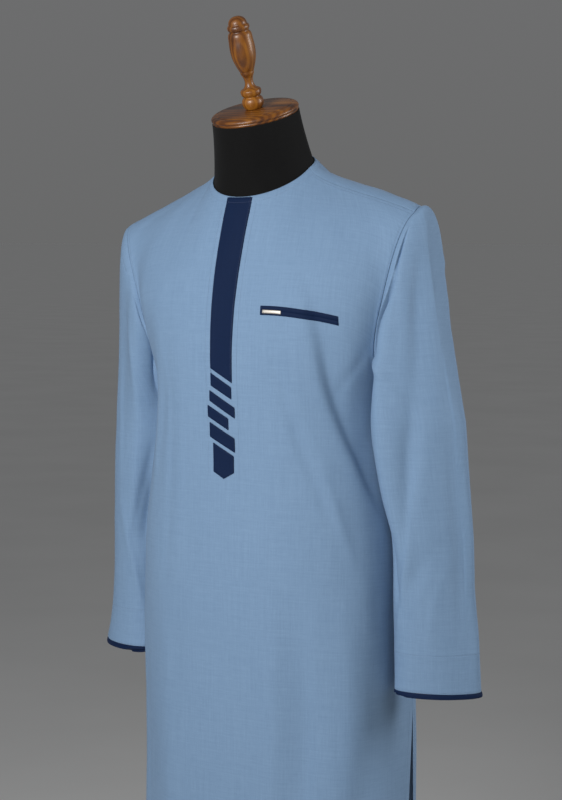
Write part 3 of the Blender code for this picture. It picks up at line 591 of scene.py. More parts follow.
def make_sleeve(side, levels, outset=0.0):
    """Rings of a sleeve from the armhole down, as a dict of grids."""
    arounds = np.arange(SLEEVE_AROUND) * 360 / SLEEVE_AROUND
    seam = armhole_ring(arounds, side)
    rings = np.array([sleeve_ring(level, arounds, side, seam) for level in levels])
    around_step = np.roll(rings, -1, axis=1) - np.roll(rings, 1, axis=1)
    outward = unit(np.cross(around_step, np.gradient(rings, axis=0)))
    folds = LEFT_SLEEVE_FOLDS if side == "left" else RIGHT_SLEEVE_FOLDS
    around = np.broadcast_to(arounds, rings.shape[:2])
    u = lengths_along(np.concatenate([rings, rings[:, :1]], axis=1), 1)
    v = lengths_along(rings, 0)
    down = v[-1] - v
    height = fold_height(folds, around, rings[..., 2], SLEEVE_GIRTH / 360, 360)
    height = height * smooth(0, HEAD_FADE, v)
    ripple = wave_height(u[:, :-1], down, 4.0 if side == "left" else 7.0)
    fade = np.minimum(1, 4 * np.cos(np.radians(around) / 2) ** 2)
    height = height + ripple * smooth(0, 0.03, v) * fade
    height = height + head_roll(side, around, v) + roll(v) + outset
    points = rings + outward * height[..., None]
    if side == "right":
        points = points * (-1, 1, 1)
    return {"points": points, "u": u, "v": np.concatenate([down, down[:, :1]], axis=1)}


def head_roll(side, around, v):
    """How far a sleeve's head stands out along its seam, at distances v from it."""
    marks, breaks, heights, dips = np.array(HEAD_ROLL[side]).T
    reach, high, deep = (np.interp(around, marks, row * MM) for row in (breaks, heights, dips))
    past = v - reach
    over = smooth(0, ROLL_BREAK, past)
    crest = high * np.sin(math.pi / 2 * np.clip(v / reach, 0, 1)) ** 1.5 * (1 - over)
    beyond = np.clip(past - ROLL_BREAK, 0, None)
    groove = over * np.exp(-((beyond / GROOVE_REACH) ** 2))
    return crest - deep * (over * np.exp(-beyond / DIP_REACH) + GROOVE_SHARE * groove)


def sample(grid, rows, columns):
    """Values of a grid at fractional rows and columns."""
    i = np.clip(np.floor(rows).astype(int), 0, grid.shape[0] - 2)
    j = np.clip(np.floor(columns).astype(int), 0, grid.shape[1] - 2)
    a, b = (rows - i)[..., None], (columns - j)[..., None]
    low = grid[i, j] * (1 - b) + grid[i, j + 1] * b
    return low * (1 - a) + (grid[i + 1, j] * (1 - b) + grid[i + 1, j + 1] * b) * a


def on_front(x, z, lift):
    """Points on the front at widths and heights, moved out by lift, and the normals.

    Newton's method finds their places in its grid."""
    flat = FRONT["points"][..., [0, 2]]
    by_row, by_column = np.gradient(flat, axis=0), np.gradient(flat, axis=1)
    middle = flat.shape[1] // 2
    rows = np.interp(z, flat[:, middle, 1], np.arange(len(flat)))
    columns = middle + x / PANEL_STEP
    for _ in range(16):
        miss = np.stack([x, z], axis=-1) - sample(flat, rows, columns)
        a, b = sample(by_row, rows, columns), sample(by_column, rows, columns)
        scale = np.cross(a, b)
        rows = np.clip(rows + np.cross(miss, b) / scale, 0, flat.shape[0] - 1)
        columns = np.clip(columns + np.cross(a, miss) / scale, 0, flat.shape[1] - 1)
    points, normals = place_on(FRONT, rows, columns)
    return points + normals * lift[..., None], normals


def place_on(panel, rows, columns):
    """Points at a panel's fractional rows and columns, and the normals there."""
    rows = np.asarray(rows, float)
    columns = np.broadcast_to(np.asarray(columns, float), rows.shape)
    return sample(panel["points"], rows, columns), unit(sample(panel["normals"], rows, columns))


def link(obj):
    bpy.context.scene.collection.objects.link(obj)
    return obj


def mesh_object(name, points, faces, finish):
    """An object of one smooth mesh."""
    mesh = bpy.data.meshes.new(name)
    mesh.from_pydata(np.asarray(points, float).tolist(), [], faces)
    mesh.shade_smooth()
    mesh.materials.append(finish)
    return link(bpy.data.objects.new(name, mesh))


def grid_faces(rows, columns, round_about=False):
    """Quads of a grid, facing the side from which rows go up and columns go right."""
    across = columns if round_about else columns - 1
    i, j = np.meshgrid(np.arange(rows - 1), np.arange(across), indexing="ij")
    right = (j + 1) % columns
    low, high = i * columns, (i + 1) * columns
    return np.stack([low + j, low + right, high + right, high + j], axis=2).reshape(-1, 4)


def cloth_object(name, grid, finish, wall, turned=False, round_about=False, line=None):
    """A cloth shell through a grid's points, with u and v on the cloth as its grain map.

    A grid that goes round about has one more column in u and v than in points."""
    points, facing = grid["points"], -1 if turned else 1
    faces = grid_faces(*points.shape[:2], round_about)[:, ::facing]
    obj = mesh_object(name, points.reshape(-1, 3), faces.tolist(), finish)
    corners = grid_faces(*grid["u"].shape)[:, ::facing].ravel()
    places = np.stack([grid[key].ravel()[corners] for key in "uv"], axis=1)
    obj.data.uv_layers.new(name="grain").data.foreach_set("uv", places.astype(np.float32).ravel())
    if line is None:
        line = np.full(points.shape[:2], 0.02)
    held = obj.data.attributes.new("line", "FLOAT", "POINT")
    held.data.foreach_set("value", line.astype(np.float32).ravel())
    shell = obj.modifiers.new("Wall", "SOLIDIFY")
    shell.thickness = wall
    shell.offset = -1.0
    shell.use_even_offset = True
    shell.use_rim = True
    return obj


def edge_places(length, step, closest):
    """Shares of a length from 0 to 1, closer together at both ends."""
    close = np.array([0, 0.35, 1.0, 2.0]) * closest
    middle = np.linspace(close[-1], length - close[-1], max(2, round(length / step)))[1:-1]
    return np.concatenate([close, middle, (length - close)[::-1]]) / length


def laid_piece(
    name, columns, solid, corners=(0.0013, 0.0013), crown=0.0,
    base=TRIM_LIFT, wall=TRIM_WALL, slot="navy_twill", finish=None,
):
    """A flat piece on the front with soft edges, between columns of top and low places."""
    table = np.array(columns)
    middle = table.mean(axis=0)
    length = math.dist(middle[:2], middle[2:])
    width = math.dist(table[0, :2], table[-1, :2])
    closest = min(0.0006, length / 8)
    s, t = np.meshgrid(*(edge_places(size, TRIM_STEP, closest) for size in (width, length)))
    inset = np.zeros_like(t)
    for from_end, radius in ((t * length, corners[0]), ((1 - t) * length, corners[1])):
        short = np.clip(radius - from_end, 0, None)
        inset = inset + radius - np.sqrt(np.clip(radius**2 - short**2, 0, None))
    inset = np.clip(inset, 0, width / 3)
    at = (inset + s * (width - 2 * inset)) / width
    keys = np.linspace(0, 1, len(table))
    top_x, top_z, low_x, low_z = (np.interp(at, keys, column) for column in table.T)
    x = top_x + (low_x - top_x) * t
    z = top_z + (low_z - top_z) * t
    edge = np.minimum(np.minimum(at, 1 - at) * width, np.minimum(t, 1 - t) * length)
    lift = base + wall - 0.5 * wall * np.exp(-((edge / 0.0005) ** 2)) + crown * np.sin(math.pi * t)
    points, _ = on_front(x, z, lift)
    grid = {"points": points[::-1], "u": x[::-1], "v": z[::-1]}
    shell = cloth_object(name, grid, finish or NAVY, wall, line=abs(edge - 0.0015)[::-1])
    return piece(shell, slot, solid)


def stitches_object(name, lines, finish, slot):
    """One mesh of small rounded stitches, end to end along paths on the cloth with normals."""
    sides = 5
    shape = []
    for place, size, sink in ((-0.5, 0.4, -0.7), (-0.28, 1, 0.3), (0.28, 1, 0.3), (0.5, 0.4, -0.7)):
        for angle in np.arange(sides) * math.tau / sides:
            out = (math.cos(angle) * size, math.sin(angle) * size + sink)
            shape.append((place * STITCH, out[0] * STITCH_RADIUS, out[1] * STITCH_RADIUS))
    faces = grid_faces(4, sides, True).tolist()
    faces += [list(range(sides))[::-1], list(range(3 * sides, 4 * sides))]
    ahead = STITCH_PITCH / 4
    points = []
    for path, normals in lines:
        run = np.append(0, np.cumsum(np.linalg.norm(np.diff(path, axis=0), axis=1)))
        centres = np.arange(STITCH_PITCH / 2, run[-1], STITCH_PITCH)
        middle, normal, front, behind = (
            np.stack([np.interp(centres + shift, run, column) for column in values.T], axis=1)
            for values, shift in ((path, 0), (normals, 0), (path, ahead), (path, -ahead))
        )
        tangent = unit(front - behind)
        side = unit(np.cross(normal, tangent))
        axes = np.stack([tangent, side, np.cross(tangent, side)], axis=1)
        points.append((middle[:, None] + np.array(shape) @ axes).reshape(-1, 3))
    points = np.concatenate(points)
    every = [[k + n for k in face] for n in range(0, len(points), len(shape)) for face in faces]
    return piece(mesh_object(name, points, every, finish), slot)


def contour(panel, field, level, columns):
    """Where a field last crosses a level in each column, as a path with its normals."""
    rows, found = [], []
    for j in columns:
        values = panel[field][:, j] - level
        crossed = np.flatnonzero(values[:-1] * values[1:] <= 0)
        if len(crossed):
            i = crossed[-1]
            rows.append(i + values[i] / (values[i] - values[i + 1]))
            found.append(j)
    return place_on(panel, rows, found)


def ring_line(sleeve, v_at):
    """A closed path round a sleeve at a height along the cloth from its cuff, with normals."""
    points, v = sleeve["points"], sleeve["v"]
    columns = np.arange(points.shape[1])
    rows = np.array([np.interp(-v_at, -v[:, j], np.arange(len(v))) for j in columns])
    path = sample(points, rows, columns)
    normals = unit(np.cross(np.roll(path, -1, axis=0) - np.roll(path, 1, axis=0), (0, 0, 1)))
    normals *= np.sign(((path - path.mean(axis=0)) * normals).sum(axis=1, keepdims=True))
    closed = np.append(columns, 0)
    return path[closed], normals[closed]


def new_material(name, **sockets):
    """A material with plain values on its sockets, its node tree and its shader."""
    made = bpy.data.materials.new(name)
    made.use_nodes = True
    shader = made.node_tree.nodes["Principled BSDF"]
    for socket, value in sockets.items():
        shader.inputs[socket.replace("_", " ")].default_value = value
    return made, made.node_tree, shader


def node(tree, kind, values=(), **settings):
    """A shader node: values are (input, value or linked output)."""
    made = tree.nodes.new("ShaderNode" + kind)
    for key, value in settings.items():
        setattr(made, key, value)
    for socket, value in values:
        if isinstance(value, bpy.types.NodeSocket):
            tree.links.new(value, made.inputs[socket])
        else:
            made.inputs[socket].default_value = value
    return made


def maths(tree, operation, *values):
    return node(tree, "Math", list(enumerate(values)), operation=operation).outputs[0]


def vector(tree, operation, *values, out=0):
    return node(tree, "VectorMath", list(enumerate(values)), operation=operation).outputs[out]


def total(tree, *terms):
    """The sum of weight times output, each term given as (output, weight)."""
    held = maths(tree, "MULTIPLY", *terms[0])
    for term in terms[1:]:
        held = maths(tree, "MULTIPLY_ADD", *term, held)
    return held


def stretched(tree, place, *scale):
    return vector(tree, "MULTIPLY", place, scale)


def noise(tree, place, detail=2.0, roughness=0.5, scale=1.0, out="Fac"):
    values = [("Vector", place), ("Detail", detail), ("Roughness", roughness), ("Scale", scale)]
    return node(tree, "TexNoise", values).outputs[out]


def ramp(tree, factor, *stops):
    """A colour for each value of a factor, from stops of (place, colour)."""
    made = node(tree, "ValToRGB", [("Fac", factor)])
    points = made.color_ramp.elements
    while len(points) < len(stops):
        points.new(0.5)
    for point, (place, colour) in zip(points, stops):
        point.position = place
        point.color = (*colour, 1.0)
    return made.outputs["Color"]


def mapped(tree, value, low, high, to_low=0.0, to_high=1.0):
    """A value's soft step between low and high."""
    values = [("Value", value), ("From Min", low), ("From Max", high)]
    values += [("To Min", to_low), ("To Max", to_high)]
    return node(tree, "MapRange", values, interpolation_type="SMOOTHSTEP").outputs[0]


def raise_surface(tree, shader, height):
    """Bump from a height in metres."""
    made = node(tree, "Bump", [("Height", height), ("Distance", 1.0), ("Strength", 1.0)])
    tree.links.new(made.outputs["Normal"], shader.inputs["Normal"])


def twill(name, deep, pale, **sockets):
    """Fine twill of uneven yarns, with streaks both ways and dips where it is stitched."""
    made, tree, shader = new_material(name, **sockets)
    grain = node(tree, "UVMap", uv_map="grain").outputs[0]
    weft = noise(tree, stretched(tree, grain, 70, 1500, 1), detail=3, roughness=0.6)
    warp = noise(tree, stretched(tree, grain, 1500, 60, 1), detail=3, roughness=0.6)
    weft_long = noise(tree, stretched(tree, grain, 16, 420, 1), detail=1)
    warp_long = noise(tree, stretched(tree, grain, 460, 12, 1), detail=1)
    speck = noise(tree, stretched(tree, grain, 1700, 1700, 1), detail=2)
    cloud = noise(tree, stretched(tree, grain, 7, 5, 1), detail=2)
    rib = maths(tree, "SINE", vector(tree, "DOT_PRODUCT", grain, (6400, 7600, 0), out="Value"))
    terms = [(weft, 1), (warp, 1), (weft_long, 0.55), (warp_long, 0.55), (speck, 0.9), (cloud, 0.3)]
    tone = total(tree, *((value, share * STREAK) for value, share in terms + [(rib, 0.03)]))
    tone = maths(tree, "ADD", tone, 0.5 - sum(share for _, share in terms) * STREAK / 2)
    tree.links.new(ramp(tree, tone, (0, deep), (1, pale)), shader.inputs["Base Color"])
    line = node(tree, "Attribute", attribute_name="line").outputs["Fac"]
    dip = mapped(tree, line, 0.0, 0.0018, 1.0, 0.0)
    beside = mapped(tree, line, 0.001, 0.008, 1.0, 0.0)
    pucker = maths(tree, "MULTIPLY", noise(tree, stretched(tree, grain, 210, 210, 1), detail=1), beside)
    height = [(rib, 0.000012), (weft, 0.00005), (warp, 0.00005), (speck, 0.00003)]
    raise_surface(tree, shader, total(tree, *height, (dip, -0.00022), (pucker, 0.0004)))
    return made


def surface(name, layers, stops, **sockets):
    """A material of noises, as rows of scales, detail, share of colour and bump."""
    made, tree, shader = new_material(name, **sockets)
    place = node(tree, "TexCoord").outputs["Object"]
    tones, heights = [], []
    for scales, detail, tone, height in layers:
        value = noise(tree, stretched(tree, place, *scales), detail)
        tones.append((value, tone))
        heights.append((value, height))
    tree.links.new(ramp(tree, total(tree, *tones), *stops), shader.inputs["Base Color"])
    if heights[0][1]:
        raise_surface(tree, shader, total(tree, *heights))
    return made


def shades(colour, share):
    """Ramp stops from a share of a colour up to all of it."""
    return (0.3, tuple(share * c for c in colour)), (0.7, colour)


def thread(name, colour):
    """Twisted sewing thread."""
    layers = [((2400, 2400, 2400), 1, 1, 0)]
    return surface(name, layers, shades(colour, 0.7), Roughness=0.55, Sheen_Weight=0.2)


def metal(name, colour, brush, roughness):
    """Brushed or satin metal, with fine lines one way."""
    layers = [(brush, 2, 0.6, 0.00002), ((30, 30, 12), 3, 0.4, 0)]
    return surface(name, layers, shades(colour, 0.78), Metallic=1.0, Roughness=roughness)


def wood(name, centre, stretch, spacing, painted_shading):
    """Varnished warm brown wood: growth rings about a pith line, pores and dark mottling, all shifted by
    a painted shading tone per piece.
    """
    made, tree, shader = new_material(
        name, Roughness=0.42, Coat_Weight=0.24, Coat_Roughness=0.12, Coat_IOR=1.45
    )
    place = node(tree, "TexCoord").outputs["Object"]
    wander = noise(tree, stretched(tree, place, *stretch), scale=26.0, out="Color")
    wander = vector(tree, "SUBTRACT", wander, (0.5,) * 3)
    off = vector(tree, "SUBTRACT", vector(tree, "MULTIPLY_ADD", wander, (0.011,) * 3, place), centre)
    radius = vector(tree, "LENGTH", stretched(tree, off, *stretch), out="Value")
    rings = maths(tree, "SINE", maths(tree, "MULTIPLY", radius, math.tau / spacing))
    ring = mapped(tree, rings, -0.9, 1.0)
    fine = tuple(1500 if s > 0.5 else 60 for s in stretch)
    pores = noise(tree, stretched(tree, place, *fine), detail=2)
    blotch = noise(tree, stretched(tree, place, *(38 * max(s, 0.35) for s in stretch)), detail=3)
    # The painted shading tone darkens or lightens the whole piece; on the cap it is painted shade against
    # the strong light on its top.
    tone = maths(tree, "ADD", total(tree, (ring, 0.17), (pores, 0.26), (blotch, 1.1)), painted_shading)
    colour = ramp(
        tree,
        tone,
        (0.42, (0.036, 0.01, 0.002)),
        (0.62, (0.12, 0.036, 0.004)),
        (0.8, (0.225, 0.076, 0.006)),
        (1.00, (0.33, 0.125, 0.011)),
    )
    tree.links.new(colour, shader.inputs["Base Color"])
    raise_surface(tree, shader, total(tree, (pores, -0.00006), (ring, 0.00002)))
    return made


def form_sides(levels, shares):
    """The form's front and back, inside the cloth by an inset that is least at the top."""
    (front, front_normals), (rear, rear_normals) = (whole_panel(b, shares, levels) for b in (False, True))
    across = abs(np.concatenate([-shares[:0:-1], shares]))
    edge = np.zeros(front.shape[:2], bool)
    edge[levels <= 1] = across == 1
    edge[-1] = across >= NECK_SHARE
    shared = unit((front_normals + rear_normals)[edge])
    front_normals[edge] = shared
    rear_normals[edge] = shared
    rise = np.clip(levels - 2, 0, 1)[:, None] ** 2
    top_share, top_inset = zip(*TOP_INSETS)
    inset = FORM_INSET + (np.interp(across, top_share, top_inset) - FORM_INSET) * rise
    front = front - front_normals * inset[..., None]
    rear = rear - rear_normals * inset[..., None]
    front[0, :, 2] = rear[0, :, 2] = FORM_BOTTOM_Z
    return front, rear


def armhole_plate(front_edge, rear_edge, bulge):
    """Rings that close the form at an armhole, domed outwards by the bulge."""
    ring = np.concatenate([front_edge[::-1], rear_edge[1:-1]])
    middle = ring.mean(axis=0)
    shrink = (1, 0.85, 0.7, 0.5, 0.35, 0.15)
    rings = [middle + (ring - middle) * s + (bulge * (1 - s * s), 0, 0) for s in shrink]
    tip = np.broadcast_to(middle + (bulge, 0, 0), ring.shape)
    return np.array(rings + [tip])


def neck_rings(front_top, rear_top, shares):
    """Rings of the neck from the kaftan's neck edge up to the cap, closed at the top."""
    half = len(shares) - 1
    edge = round(NECK_SHARE * half)
    front_edge, rear_edge = (row[half - edge:half + edge + 1] for row in (front_top, rear_top))
    ring = np.concatenate([front_edge, rear_edge[-2:0:-1]])
    turns = np.arctan2(ring[:, 1] - NECK_SIDE[0], ring[:, 0])
    middle = np.array((0.0, *NECK_TOP_CENTRE))
    rear = np.array([0.0, math.cos(CAP_TILT), math.sin(CAP_TILT)])
    top = middle + NECK_TOP_RADIUS * (np.outer(np.cos(turns), (1, 0, 0)) + np.outer(np.sin(turns), rear))
    rings = []
    for t in np.linspace(0, 1, 22):
        row = ring + (top - ring) * t
        centre = row.mean(axis=0)
        rings.append(centre + (row - centre) * (1 - 0.015 * math.sin(math.pi * t) ** 0.6))
    return np.array(rings + [middle + (top - middle) * share for share in (0.97, 0.6, 0.0)])


def weld_patch(mesh, points, turned=False, round_about=False):
    """Adds a grid of faces to a mesh that is being put together."""
    verts = [mesh.verts.new(p) for p in points.reshape(-1, 3)]
    for face in grid_faces(*points.shape[:2], round_about):
        corners = [verts[k] for k in face]
        mesh.faces.new(corners[::-1] if turned else corners)


def make_form(finish):
    """The form: trunk, shoulders closed at the armholes, and neck, in one cover."""
    shares = np.linspace(0, 1, 49)
    bottom = (FORM_BOTTOM_Z - HEM_Z) / (UNDERARM_Z - HEM_Z)
    shoulder = 3 - np.linspace(1, 0, 17)[1:] ** 1.25
    trunk = np.linspace(bottom, 1, 16)
    levels = np.concatenate([trunk, np.linspace(1, 2, 11)[1:], shoulder])
    front, rear = form_sides(levels, shares)
    under = len(trunk) - 1
    mesh = bmesh.new()
    weld_patch(mesh, front)
    weld_patch(mesh, rear, turned=True)
    weld_patch(mesh, np.array([rear[0], front[0]]))
    weld_patch(mesh, armhole_plate(front[under:, -1], rear[under:, -1], 0.01), True, True)
    weld_patch(mesh, armhole_plate(front[under:, 0], rear[under:, 0], -0.01), False, True)
    weld_patch(mesh, neck_rings(front[-1], rear[-1], shares), round_about=True)
    bmesh.ops.remove_doubles(mesh, verts=mesh.verts, dist=1e-5)
    bmesh.ops.recalc_face_normals(mesh, faces=mesh.faces)
    made = bpy.data.meshes.new("form_body")
    mesh.to_mesh(made)
    mesh.free()
    made.shade_smooth()
    made.set_sharp_from_angle(angle=math.radians(50))
    made.materials.append(finish)
    return link(bpy.data.objects.new("form_body", made))


def smooth_profile(rows):
    """A profile's points, on smooth curves between the rows that are marked as sharp."""
    rows = np.array(rows, float)
    sharp = np.flatnonzero(rows[:, 2])
    points = [rows[0, :2]]
    for start, end in zip(sharp[:-1], sharp[1:]):
        part = rows[start:end + 1, :2]
        run = np.append(0, np.cumsum(np.hypot(*np.diff(part, axis=0).T)))
        steps = 1 if len(part) == 2 else 5 * (len(part) - 1)
        places = np.linspace(0, run[-1], steps + 1)[1:]
        points += list(along(np.column_stack([run, part]), places)[:, 1:])
    return points


def turned_piece(name, profile, finish, slot, solid, rise=None):
    """A turned piece: the outer side of its profile in mm, top to bottom, spun about Z.

    With a rise, it stands that far up on the tilted top of the neck."""
    points = [(max(radius, 0) * MM, 0, height * MM) for height, radius in smooth_profile(profile)]
    mesh = bpy.data.meshes.new(name)
    mesh.from_pydata(points, [(k, k + 1) for k in range(len(points) - 1)], [])
    mesh.materials.append(finish)
    obj = link(bpy.data.objects.new(name, mesh))
    screw = obj.modifiers.new("Turned", "SCREW")
    screw.axis = "Z"
    screw.angle = math.tau
    screw.steps = screw.render_steps = TURNED_STEPS
    screw.use_merge_vertices = True
    screw.merge_threshold = 0.00005
    screw.use_smooth_shade = True
    if rise is not None:
        y, z = NECK_TOP_CENTRE
        obj.rotation_euler = (CAP_TILT, 0, 0)
        obj.location = (0, y - math.sin(CAP_TILT) * rise, z + math.cos(CAP_TILT) * rise)
    piece(obj, slot, solid)


def piece(obj, slot, *nodes):
    """Puts a finished piece on the part's body, in place of its solids."""
    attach(obj, "root")
    if nodes:
        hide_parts(*nodes)
    return obj


# Turned profiles in mm, from the top down: height, radius, and 1 where there is a corner
CAP_PROFILE = (
    (11, 0, 1), (11, 50, 1), (10.4, 51.6, 0), (9.8, 52.4, 1), (10, 54, 0), (9.3, 57, 0),
    (7.5, 59.4, 0), (5.8, 60.2, 0), (4, 59.8, 0), (3, 58.8, 1), (1.6, 59.2, 0), (0, 58.8, 1),
    (0, 0, 1),
)
FINIAL_PROFILE = (
    (126, 0, 1), (125.4, 4.5, 0), (122.6, 9.5, 0), (118, 12.2, 0), (115, 12.6, 1), (113.2, 14.4, 0),
    (110.8, 15.1, 0), (108.2, 14.5, 0), (106, 12.8, 1), (104, 14.6, 0), (92.3, 16.6, 0),
    (81, 17.2, 0), (71.4, 16.4, 0), (60, 13.2, 0), (51.8, 9.9, 1), (51.2, 9.3, 1), (50.5, 9.4, 0),
    (41, 6.2, 0), (34.5, 6, 0), (28.5, 9, 0), (26.8, 12.4, 1), (25, 14, 0), (22.5, 14.2, 0),
    (19, 13.2, 0), (16.5, 10.8, 1), (14, 13.3, 0), (9, 14.8, 0), (4, 13.6, 0), (0, 11.2, 1),
    (0, 0, 1),
)
BASE_PROFILE = (
    (42, 0, 1), (42, 33, 1), (40, 37, 0), (34, 40, 1), (30, 52, 0), (27, 150, 0), (25, 182, 1),
    (19, 188.5, 0), (12, 190, 0), (5, 188.5, 0), (0, 185, 1), (0, 0, 1),
)

# How strongly the uneven yarns show in the colour of the twill
STREAK = 0.34
BLUE = twill(
    "blue_twill", (0.11, 0.196, 0.33), (0.285, 0.425, 0.61),
    Roughness=0.72, Sheen_Weight=0.1, Sheen_Roughness=0.38,
    Sheen_Tint=(0.74, 0.84, 1.0, 1.0), Specular_IOR_Level=0.22,
)
NAVY = twill(
    "navy_twill", (0.0017, 0.0075, 0.031), (0.0066, 0.022, 0.074),
    Roughness=0.7, Sheen_Weight=0.05, Sheen_Roughness=0.4,
    Sheen_Tint=(0.5, 0.65, 1.0, 1.0), Specular_IOR_Level=0.14,
)
BLUE_THREAD = thread("blue_thread", (0.205, 0.315, 0.475))
NAVY_THREAD = thread("navy_thread", (0.028, 0.05, 0.13))
BLACK = surface(
    "black_cover",
    [((1300, 1300, 620), 2, 0.55, 0.00008), ((16, 16, 9), 3, 0.45, 0)],
    [(0.25, (0.0036, 0.0035, 0.0036)), (0.75, (0.0084, 0.0082, 0.0081))],
    Roughness=0.82, Sheen_Weight=0.04, Sheen_Roughness=0.5, Specular_IOR_Level=0.1,
)
# The last number is a painted shading tone: painted shade on the cap, whose top takes strong light from
# above, and smaller shifts of tone on the finial and the base.
CAP_WOOD = wood("cap_wood", (0.004, 0.01, -0.03), (0.22, 1.0, 1.0), 0.006, -0.11)
FINIAL_WOOD = wood("finial_wood", (0.01, -0.022, 0.03), (1.0, 1.0, 0.16), 0.006, 0.03)
BASE_WOOD = wood("base_wood", (0.02, 0.05, -0.11), (0.16, 1.0, 1.0), 0.011, -0.04)
DARK_STEEL = metal("dark_steel", (0.075, 0.075, 0.08), (40, 40, 2600), 0.38)
BARE_METAL = metal("bare_metal", (0.5, 0.465, 0.42), (160, 160, 5200), 0.46)

# Body
FRONT, BACK = make_panel(False), make_panel(True)
neck_edge = np.concatenate([
    panel["points"][-1][abs(panel["share"][-1]) <= NECK_SHARE] for panel in (FRONT, BACK)
])
for name, panel in (("front", FRONT), ("back", BACK)):
    finish_panel(panel, neck_edge, name == "front")
    shell = cloth_object(name, panel, BLUE, CLOTH_WALL, name == "back", line=panel["line"])
    piece(shell, "blue_twill", f"kaftan_{name}")

# Sleeves with their cuff edges
sleeves, cuff_edges, sleeve_grids = {}, {}, {}
for side in ("left", "right"):
    mirrored = side == "right"
    grid = sleeve_grids[side] = make_sleeve(side, sleeve_levels(side))
    line = np.minimum(abs(grid["v"] - CUFF_LINE), abs(grid["v"] - CUFF_EDGE_LINE))[:, :-1]
    shell = cloth_object(f"arm_{side}", grid, BLUE, CLOTH_WALL, mirrored, True, line)
    sleeves[side] = piece(shell, "blue_twill", f"sleeve_{side}")
    t = np.linspace(0, 1, 11)
    levels = 2 - CUFF_EDGE / (SLEEVE_TOP_Z - CUFF_Z[side]) * (1 - t)
    proud = 0.0007 * np.sin(math.pi * t)[:, None] ** 0.6 + 0.0001
    grid = make_sleeve(side, levels, proud)
    shell = cloth_object(f"cuff_strip_{side}", grid, NAVY, CUFF_EDGE_WALL, mirrored, True)
    cuff_edges[side] = piece(shell, "navy_twill", f"cuff_edge_{side}")

# Placket
strip = laid_piece("strip", PLACKET_STRIP, "placket_strip", (0.0, 0.001))
blocks = [
    laid_piece(f"block_{number}", columns, f"placket_block_{number}")
    for number, columns in enumerate(PLACKET_BLOCKS, 1)
]
tip = laid_piece("tip", PLACKET_TIP, "placket_tip", (0.0012, 0.0006))


def welt_columns(start, end, top_share, low_share):
    """Columns of a strip on the bowed welt, between shares of its length and height."""
    columns = []
    for s in np.linspace(start, end, 9):
        x = WELT_LEFT[0] + (WELT_RIGHT[0] - WELT_LEFT[0]) * s
        z = WELT_LEFT[1] + (WELT_RIGHT[1] - WELT_LEFT[1]) * s + WELT_BOW * 4 * s * (1 - s)
        columns.append((x, z - WELT_HEIGHT * top_share, x, z - WELT_HEIGHT * low_share))
    return columns


# Chest pocket: two folded lips, and a bare bar on the lower one
LIP_ROUND = 0.0006
LIP_CROWN = 0.0004
columns = welt_columns(0, 1, 0, 0.504)
upper_lip = laid_piece("welt_upper", columns, "pocket_welt_upper", (LIP_ROUND, 0), LIP_CROWN)
columns = welt_columns(0, 1, 0.496, 1)
lower_lip = laid_piece("welt_lower", columns, "pocket_welt_lower", (0, LIP_ROUND), LIP_CROWN)
half = TAG_HEIGHT / WELT_HEIGHT / 2
columns = welt_columns(TAG_START, TAG_END, TAG_MIDDLE - half, TAG_MIDDLE + half)
tag = laid_piece(
    "tag", columns, "pocket_tag", (0.0011, 0.0011), base=TRIM_TOP + 0.0005, wall=0.0009,
    slot="bare_metal", finish=BARE_METAL,
)

# Stitches
columns = range(FRONT["share"].shape[1])
blue_lines, navy_lines = [], []
for distance in (NECK_LINE, NECK_EDGE_LINE):
    path, normals = contour(FRONT, "neck", distance, columns)
    first, last = np.flatnonzero(abs(path[:, 0]) < PLACKET_STRIP[1][0])[[0, -1]]
    blue_lines += [(path[:first], normals[:first]), (path[last + 1:], normals[last + 1:])]
    lifted = path + normals * TRIM_TOP
    navy_lines.append((lifted[first:last + 1], normals[first:last + 1]))
    blue_lines.append(contour(BACK, "neck", distance, columns))
top_x, top_z, low_x, low_z = PLACKET_STRIP[1]
for lines, start, end, count, out, lift in (
    (blue_lines, 1.453, 1.088, 160, PLACKET_LINE, 0.0),
    (navy_lines, 1.459, 1.226, 120, -0.0015, TRIM_TOP),
):
    z = np.linspace(start, end, count)
    x = np.interp(z, (low_z, top_z), (low_x, top_x)) + out
    lines += [on_front(sign * x, z, np.full(count, lift)) for sign in (-1, 1)]
share = FRONT["share"][0]
rows = np.arange(len(FRONT["share"]))
for sign in (-1, 1):
    some = np.flatnonzero((share * sign > NECK_SHARE + 0.05) & (share * sign < 0.975))
    blue_lines.append(contour(FRONT, "top", SHOULDER_LINE, some))
for panel in (FRONT, BACK):
    blue_lines.append(contour(panel, "v", HEM_LINE, columns))
    level = panel["level"][:, 0]
    armhole_rows = rows[(level > 1.04) & (level < 2.96)]
    hem_row = np.interp(HEM_LINE, panel["v"][:, len(share) // 2], rows)
    slit_row = np.interp(SLIT_TOP_Z, panel["points"][:, len(share) // 2, 2], rows)
    slit_rows = np.linspace(hem_row, slit_row, 90)
    for sign in (-1, 1):
        for distance, some in ((ARMHOLE_LINE, armhole_rows), (SLIT_LINE, slit_rows)):
            at = np.interp(sign * (1 - distance / QUARTER_GIRTH), share, np.arange(len(share)))
            blue_lines.append(place_on(panel, some, at))
for grid in sleeve_grids.values():
    blue_lines += [ring_line(grid, height) for height in (CUFF_LINE, CUFF_EDGE_LINE)]
seams = stitches_object("stitches_blue", blue_lines, BLUE_THREAD, "blue_twill")
placket_seams = stitches_object("stitches_navy", navy_lines, NAVY_THREAD, "navy_twill")

# Dress form and its stand
piece(make_form(BLACK), "black_cover", "form_torso")
turned_piece("cap", CAP_PROFILE, CAP_WOOD, "turned_wood", "neck_cap", PART_GAP)
turned_piece("knob", FINIAL_PROFILE, FINIAL_WOOD, "turned_wood", "finial", CAP_THICK + 2 * PART_GAP)
turned_piece("base", BASE_PROFILE, BASE_WOOD, "turned_wood", "stand_base")
